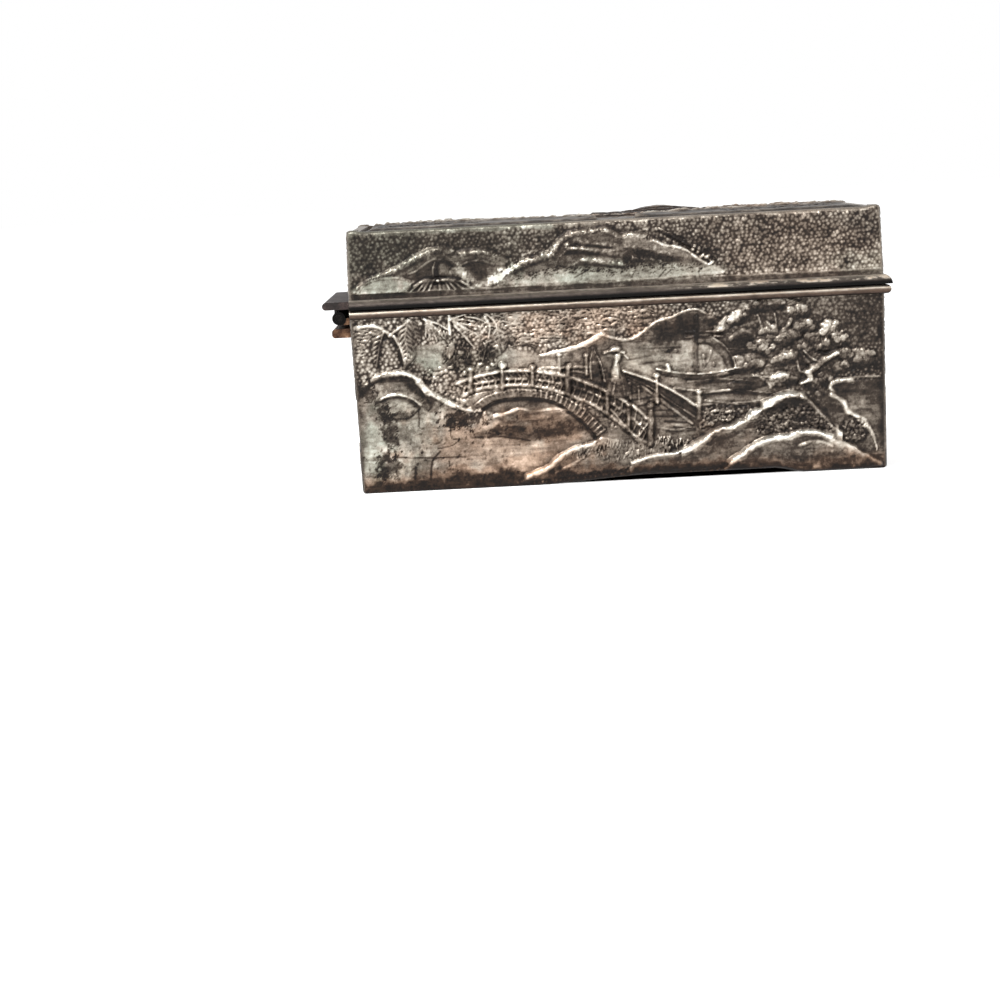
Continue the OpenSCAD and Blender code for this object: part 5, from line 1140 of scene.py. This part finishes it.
def linear(c):  # 0 to 255 on screen to the shader's own scale
    c = c / 255
    return c / 12.92 if c <= 0.04045 else ((c + 0.055) / 1.055) ** 2.4


# Colours, roughness and metal by tone, for patina and painted light alike
patinaAndPaintedLight = {
    "colours": ((0.0, (22, 17, 14)), (0.25, (62, 53, 46)), (0.5, (124, 114, 103)), (0.75, (188, 179, 166)),
                (1.0, (242, 238, 228))),
    "rough": (0.44, 0.34), "metal": (0.3, 0.9), "gloss": 0.25}


# Silvered white metal coloured by the tone attribute: patina dark in the hollows and bright where it is worn, together
# with the painted light and shade that the tone carries
def castMetal(name, toneOf):
    n = Nodes(name)
    tone = toneOf(n)
    fine = n.math("MULTIPLY", n.math("SUBTRACT", n.noise(0.2, 5, 0.75), 0.5), 0.6)
    soft = n.math("MULTIPLY", n.math("SUBTRACT", n.noise(1.3, 6, 0.65), 0.5), 0.3)
    tone = n.math("ADD", n.math("ADD", tone, fine), soft, clamp=True)
    colour = n.ramp(tone, patinaAndPaintedLight["colours"])
    colour = n.tint(colour, n.attribute("copper"), (244, 220, 206))
    colour = n.tint(colour, n.attribute("cool"), (222, 232, 230))
    n.join(colour, n.shader.inputs["Base Color"])
    n.join(n.spread(tone, *patinaAndPaintedLight["rough"]), n.shader.inputs["Roughness"])
    n.join(n.spread(tone, *patinaAndPaintedLight["metal"]), n.shader.inputs["Metallic"])
    n.shader.inputs["Specular IOR Level"].default_value = patinaAndPaintedLight["gloss"]
    n.bump(n.noise(0.14, 3, 0.6), 0.03, 0.5)
    return n.material


# 1 on the barrel and 0 away from it, by the distance from the pin's axis
def nearAxis(n, dark):
    split = n.add("SeparateXYZ")
    n.join(n.spot(), split.inputs[0])
    x = n.math("SUBTRACT", split.outputs["X"], dark["x"] * mm)
    z = n.math("SUBTRACT", split.outputs["Z"], dark["z"] * mm)
    away = n.math("SQRT", n.math("ADD", n.math("MULTIPLY", x, x), n.math("MULTIPLY", z, z)), 0)
    step = n.add("MapRange")
    step.inputs["From Min"].default_value = (dark["reach"] + 0.12) * mm
    step.inputs["From Max"].default_value = dark["reach"] * mm
    n.join(away, step.inputs["Value"])
    return step.outputs["Result"]


# A plain sheet or strip of metal with rubbed patches; stretch makes them long
def sheetMetal(name, colours, stretch=(1, 1, 1), rough=(0.5, 0.3), metal=0.85, coarse=2.2, fineShare=0.35, dark=None):
    n = Nodes(name)
    a = n.math("MULTIPLY", n.noise(coarse, 6, 0.6, stretch), 1 - fineShare)
    b = n.math("MULTIPLY", n.noise(0.25, 4, 0.7), fineShare)
    mixed = n.add("MapRange")
    mixed.inputs["From Min"].default_value = 0.36
    mixed.inputs["From Max"].default_value = 0.66
    n.join(n.math("ADD", a, b), mixed.inputs["Value"])
    tone = mixed.outputs["Result"]
    colour = n.ramp(tone, colours)
    if dark:
        colour = n.tint(colour, nearAxis(n, dark), dark["colour"], how="MIX")
    n.join(colour, n.shader.inputs["Base Color"])
    n.join(n.spread(tone, *rough), n.shader.inputs["Roughness"])
    n.shader.inputs["Metallic"].default_value = metal
    n.bump(n.noise(0.35, 5, 0.65, stretch), 0.05, 0.5)
    return n.material


# Broken bright patches on a strip, past a place along it and between two heights
def wornPatches(n, split, colour, worn):
    share = None
    for axis, low, high in (("X", worn["from"], worn["full"]), ("Z", worn["low"] - 0.15, worn["low"]),
                            ("Z", worn["high"] + 0.15, worn["high"])):
        step = n.add("MapRange")
        step.inputs["From Min"].default_value = low * mm
        step.inputs["From Max"].default_value = high * mm
        n.join(split.outputs[axis], step.inputs["Value"])
        share = step.outputs["Result"] if share is None else n.math("MULTIPLY", share, step.outputs["Result"])
    broken = n.add("MapRange")
    broken.inputs["From Min"].default_value = 0.44
    broken.inputs["From Max"].default_value = 0.56
    n.join(n.noise(0.7, 5, 0.7, (0.35, 0.35, 1)), broken.inputs["Value"])
    return n.tint(colour, n.math("MULTIPLY", share, broken.outputs["Result"]), worn["colour"], how="MIX")


# A strip coloured by its height: painted shadow low down, a painted highlight across its upper part, patina between,
# and worn patches where given
def paintedLightBand(name, low, high, colours, worn=None):
    n = Nodes(name)
    split = n.add("SeparateXYZ")
    n.join(n.spot(), split.inputs[0])
    share = n.add("MapRange")
    share.inputs["From Min"].default_value = low * mm
    share.inputs["From Max"].default_value = high * mm
    n.join(split.outputs["Z"], share.inputs["Value"])
    sway = n.math("MULTIPLY", n.math("SUBTRACT", n.noise(1.6, 5, 0.6, (0.5, 0.5, 1)), 0.5), 0.22)
    colour = n.ramp(n.math("ADD", share.outputs["Result"], sway, clamp=True), colours)
    wear = n.add("Mix", data_type="RGBA", blend_type="OVERLAY")
    wear.inputs["Factor"].default_value = 0.8
    grit = n.math("ADD", n.math("MULTIPLY", n.noise(0.3, 5, 0.7, (0.4, 0.4, 1)), 0.6),
                  n.math("MULTIPLY", n.noise(4, 4, 0.6, (0.5, 0.5, 1)), 0.4))
    if worn:
        colour = wornPatches(n, split, colour, worn)
    n.join(colour, wear.inputs["A"])
    n.join(n.ramp(grit, ((0.3, (60, 60, 60)), (0.7, (215, 212, 208)))), wear.inputs["B"])
    n.join(wear.outputs["Result"], n.shader.inputs["Base Color"])
    n.join(n.spread(grit, 0.46, 0.3), n.shader.inputs["Roughness"])
    n.shader.inputs["Metallic"].default_value = 0.75
    n.bump(n.noise(0.5, 5, 0.65, (0.4, 0.4, 1)), 0.06, 0.6)
    return n.material


def dress(node, material):
    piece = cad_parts[node]
    piece.data.materials.clear()
    piece.data.materials.append(material)


def put(piece, material, rider, node):
    piece.data.materials.append(material)
    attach(piece, rider)
    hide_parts(node)


castMaterial = castMetal("cast_white_metal", lambda n: n.attribute("tone"))
pitch = 0.14
reach = body["length"] - 2 * body["cornerRound"] * (1 - math.sqrt(0.5))
endReach = body["depth"] - 2 * body["cornerRound"] * (1 - math.sqrt(0.5))

frontRelief = Relief(reach, 0, body["baseHeight"], pitch, fromPhoto, 1)
carveBridgeScene(frontRelief)
mistRelief = Relief(reach, body["lidFoot"], body["lidTop"], pitch, fromPhoto, 2)
carveMistScene(mistRelief)
print("long walls carved")
pineRelief = Relief(endReach, 0, body["baseHeight"], pitch, inMm, 3)
carvePineScene(pineRelief)
hillRelief = Relief(endReach, body["lidFoot"], body["lidTop"], pitch, inMm, 4)
carveHillScene(hillRelief)
topRelief = Relief((topHigh.x - topLow.x) / mm, topLow.y / mm, topHigh.y / mm, 0.19, inMm, 5)
carveTopScene(topRelief)
print("short walls and top carved")

leafPocket = (leafLow.z / mm, body["baseHeight"], body["hingeWidth"] / 2, 0.6)
lidPocket = (body["lidFoot"], lidLeafHigh.z / mm, body["hingeWidth"] / 2, 1.2)
base = {"wall": body["baseWall"], "foot": 0, "top": body["baseHeight"], "lean": body["baseLean"], "leanUp": True}
lid = {"wall": body["lidWall"], "foot": body["lidFoot"], "top": body["lidTop"], "lean": body["lidLean"], "leanUp": False}
long, short = body["length"], body["depth"]
for name, r, span, half, form, turn, rider, shy, pocket in (
        ("base_front_panel", frontRelief, long, short / 2, base, 0, "base", 1, None),
        ("base_back_panel", frontRelief, long, short / 2, base, 180, "base", 1, None),
        ("base_free_end_panel", pineRelief, short, long / 2, base, 90, "base", 0.1, None),
        ("base_hinge_end_panel", pineRelief, short, long / 2, base, -90, "base", 0.05, leafPocket),
        ("lid_front_panel", mistRelief, long, short / 2, lid, 0, "lid", 1, None),
        ("lid_back_panel", mistRelief, long, short / 2, lid, 180, "lid", 1, None),
        ("lid_free_end_panel", hillRelief, short, long / 2, lid, 90, "lid", 0.1, None),
        ("lid_hinge_end_panel", hillRelief, short, long / 2, lid, -90, "lid", 0.05, lidPocket)):
    piece = castWall(name + "_cast", r, span, half, form["wall"], form["foot"], form["top"], form["lean"],
                     form["leanUp"], turn, shy, pocket)
    put(piece, castMaterial, rider, name)
piece = castTop("lid_top_panel_cast", topRelief, 0.5, topLow.z / mm)
put(piece, castMaterial, "lid", "lid_top_panel")
print("panels built")

# The lid's bead: painted shadow on its underside, a thin painted highlight on its upper side, worn bright patches
# towards the right
lidBandPaintedLight = paintedLightBand("lid_moulding_painted_light", 24.4, 25.9, (
    (0.0, (6, 5, 4)), (0.24, (12, 10, 9)), (0.36, (50, 43, 39)), (0.6, (88, 80, 74)), (0.72, (128, 120, 111)),
    (0.8, (206, 198, 187)), (0.9, (126, 119, 111)), (1.0, (112, 105, 98))),
    {"from": 6, "full": 13, "low": 25.15, "high": 25.5, "colour": (206, 196, 182)})
# The base's bead: painted shadow at its bottom and a painted highlight along its top
baseBandPaintedLight = paintedLightBand("base_moulding_painted_light", 22.95, 24.3, (
    (0.0, (16, 12, 10)), (0.14, (34, 26, 22)), (0.3, (72, 58, 50)), (0.5, (92, 76, 66)), (0.58, (126, 111, 100)),
    (0.68, (208, 199, 187)), (0.84, (196, 187, 175)), (1.0, (140, 130, 120))))
axis = {"x": -36.85, "z": 23.25, "reach": 0.98, "colour": (10, 8, 7)}
leafMetal = sheetMetal("worn_hinge_leaf", ((0, (44, 30, 24)), (0.35, (84, 60, 46)), (0.7, (124, 94, 72)),
                                           (1, (176, 140, 112))), coarse=1.6, dark=axis)
# The lid's hinge leaf: dark purple-brown, darkened further as painted shade so that its top face reads as shaded
shadedLeafMetal = sheetMetal("bright_hinge_leaf", ((0, (24, 18, 17)), (0.4, (42, 33, 31)), (0.75, (62, 49, 46)),
                                               (1, (96, 79, 74))), coarse=1.8, rough=(0.7, 0.55), metal=0.3, dark=axis)
pinMetal = sheetMetal("hinge_pin", ((0, (9, 8, 8)), (0.5, (16, 14, 13)), (1, (40, 36, 33))), coarse=1)
floorMetal = sheetMetal("floor_sheet", ((0, (44, 40, 37)), (0.45, (88, 82, 76)), (1, (150, 143, 134))),
                        coarse=6, rough=(0.6, 0.4))
linerMetal = sheetMetal("liner_sheet", ((0, (92, 88, 82)), (0.45, (140, 135, 127)), (1, (196, 191, 182))),
                        coarse=7, rough=(0.5, 0.34), fineShare=0.2)
for node, material in (("base_rim_moulding", baseBandPaintedLight), ("lid_rim_moulding", lidBandPaintedLight),
                       ("hinge_base_leaf", leafMetal), ("hinge_lid_leaf", shadedLeafMetal), ("hinge_pin", pinMetal),
                       ("base_floor_plate", floorMetal), ("liner_band", linerMetal),
                       ("liner_divider_left", linerMetal), ("liner_divider_right", linerMetal),
                       ("stamp_floor_left", linerMetal), ("stamp_floor_middle", linerMetal),
                       ("stamp_floor_right", linerMetal)):
    dress(node, material)
print("materials set")

camera = {"far": 450, "high": 43, "targetX": -16.7, "targetZ": -1.65, "roll": 2.9, "width": 132.4}


def placeCamera():
    data = bpy.data.cameras.new("camera")
    eye = Vector((camera["targetX"], -body["depth"] / 2 - camera["far"], camera["high"]))
    target = Vector((camera["targetX"], -body["depth"] / 2, camera["targetZ"]))
    ahead = (target - eye).normalized()
    side = ahead.cross(Vector((0, 0, 1))).normalized()
    up = side.cross(ahead)
    turn = Matrix.Rotation(math.radians(camera["roll"]), 3, ahead)
    side, up = turn @ side, turn @ up
    data.sensor_width = 36
    data.lens = 36 * (target - eye).length / camera["width"]
    data.clip_start = 0.01
    data.clip_end = 20
    piece = bpy.data.objects.new("camera", data)
    bpy.context.collection.objects.link(piece)
    matrix = Matrix((side, up, -ahead)).transposed().to_4x4()
    matrix.translation = eye * mm
    piece.matrix_world = matrix
    bpy.context.scene.camera = piece


studio = {"key": 5.0, "keySize": 0.25, "fill": 0.8, "worldTop": 0.7, "worldLow": 0.22, "floorGlow": 0.6}


def areaLamp(name, place, target, size, power):
    data = bpy.data.lights.new(name, "AREA")
    data.size = size
    data.energy = power
    piece = bpy.data.objects.new(name, data)
    bpy.context.collection.objects.link(piece)
    piece.location = place
    piece.rotation_euler = (Vector(target) - Vector(place)).to_track_quat("-Z", "Y").to_euler()


# 1 for what is seen directly, in the metal or through it, and 0 for light that the object gets
def seenRays(tree):
    path = tree.nodes.new("ShaderNodeLightPath")
    share = path.outputs["Is Camera Ray"]
    for ray in ("Is Glossy Ray", "Is Transmission Ray"):
        add = tree.nodes.new("ShaderNodeMath")
        add.use_clamp = True
        tree.links.new(share, add.inputs[0])
        tree.links.new(path.outputs[ray], add.inputs[1])
        share = add.outputs[0]
    return share


def buildStudio():
    bm = bmesh.new()
    bmesh.ops.create_circle(bm, cap_ends=True, segments=96, radius=3)
    mesh = bpy.data.meshes.new("floor")
    bm.to_mesh(mesh)
    bm.free()
    floor = bpy.data.objects.new("floor", mesh)
    bpy.context.collection.objects.link(floor)
    n = Nodes("floor_white")
    n.shader.inputs["Base Color"].default_value = (0.9, 0.9, 0.9, 1)
    n.shader.inputs["Roughness"].default_value = 0.9
    n.shader.inputs["Specular IOR Level"].default_value = 0
    n.shader.inputs["Emission Color"].default_value = (1, 1, 1, 1)
    n.join(n.math("MULTIPLY", seenRays(n.tree), studio["floorGlow"]), n.shader.inputs["Emission Strength"])
    mesh.materials.append(n.material)

    world = bpy.data.worlds.new("studio")
    bpy.context.scene.world = world
    world.use_nodes = True
    tree = world.node_tree
    back = tree.nodes["Background"]
    spot = tree.nodes.new("ShaderNodeTexCoord")
    split = tree.nodes.new("ShaderNodeSeparateXYZ")
    tree.links.new(spot.outputs["Generated"], split.inputs[0])
    ramp = tree.nodes.new("ShaderNodeMapRange")
    ramp.inputs["From Min"].default_value = -0.1
    ramp.inputs["From Max"].default_value = 0.8
    ramp.inputs["To Min"].default_value = studio["worldLow"]
    ramp.inputs["To Max"].default_value = studio["worldTop"]
    tree.links.new(split.outputs["Z"], ramp.inputs["Value"])
    blend = tree.nodes.new("ShaderNodeMix")
    tree.links.new(seenRays(tree), blend.inputs["Factor"])
    tree.links.new(ramp.outputs["Result"], blend.inputs["A"])
    blend.inputs["B"].default_value = 1
    tree.links.new(blend.outputs["Result"], back.inputs["Strength"])
    back.inputs["Color"].default_value = (1, 1, 1, 1)
    areaLamp("key", (-0.25, -0.45, 0.62), (0, 0, 0.02), studio["keySize"], studio["key"])
    areaLamp("fill", (0.6, -0.3, 0.35), (0, 0, 0.02), 0.4, studio["fill"])


placeCamera()
buildStudio()
scene = bpy.context.scene
scene.view_settings.view_transform = "Standard"
print("camera and studio placed")
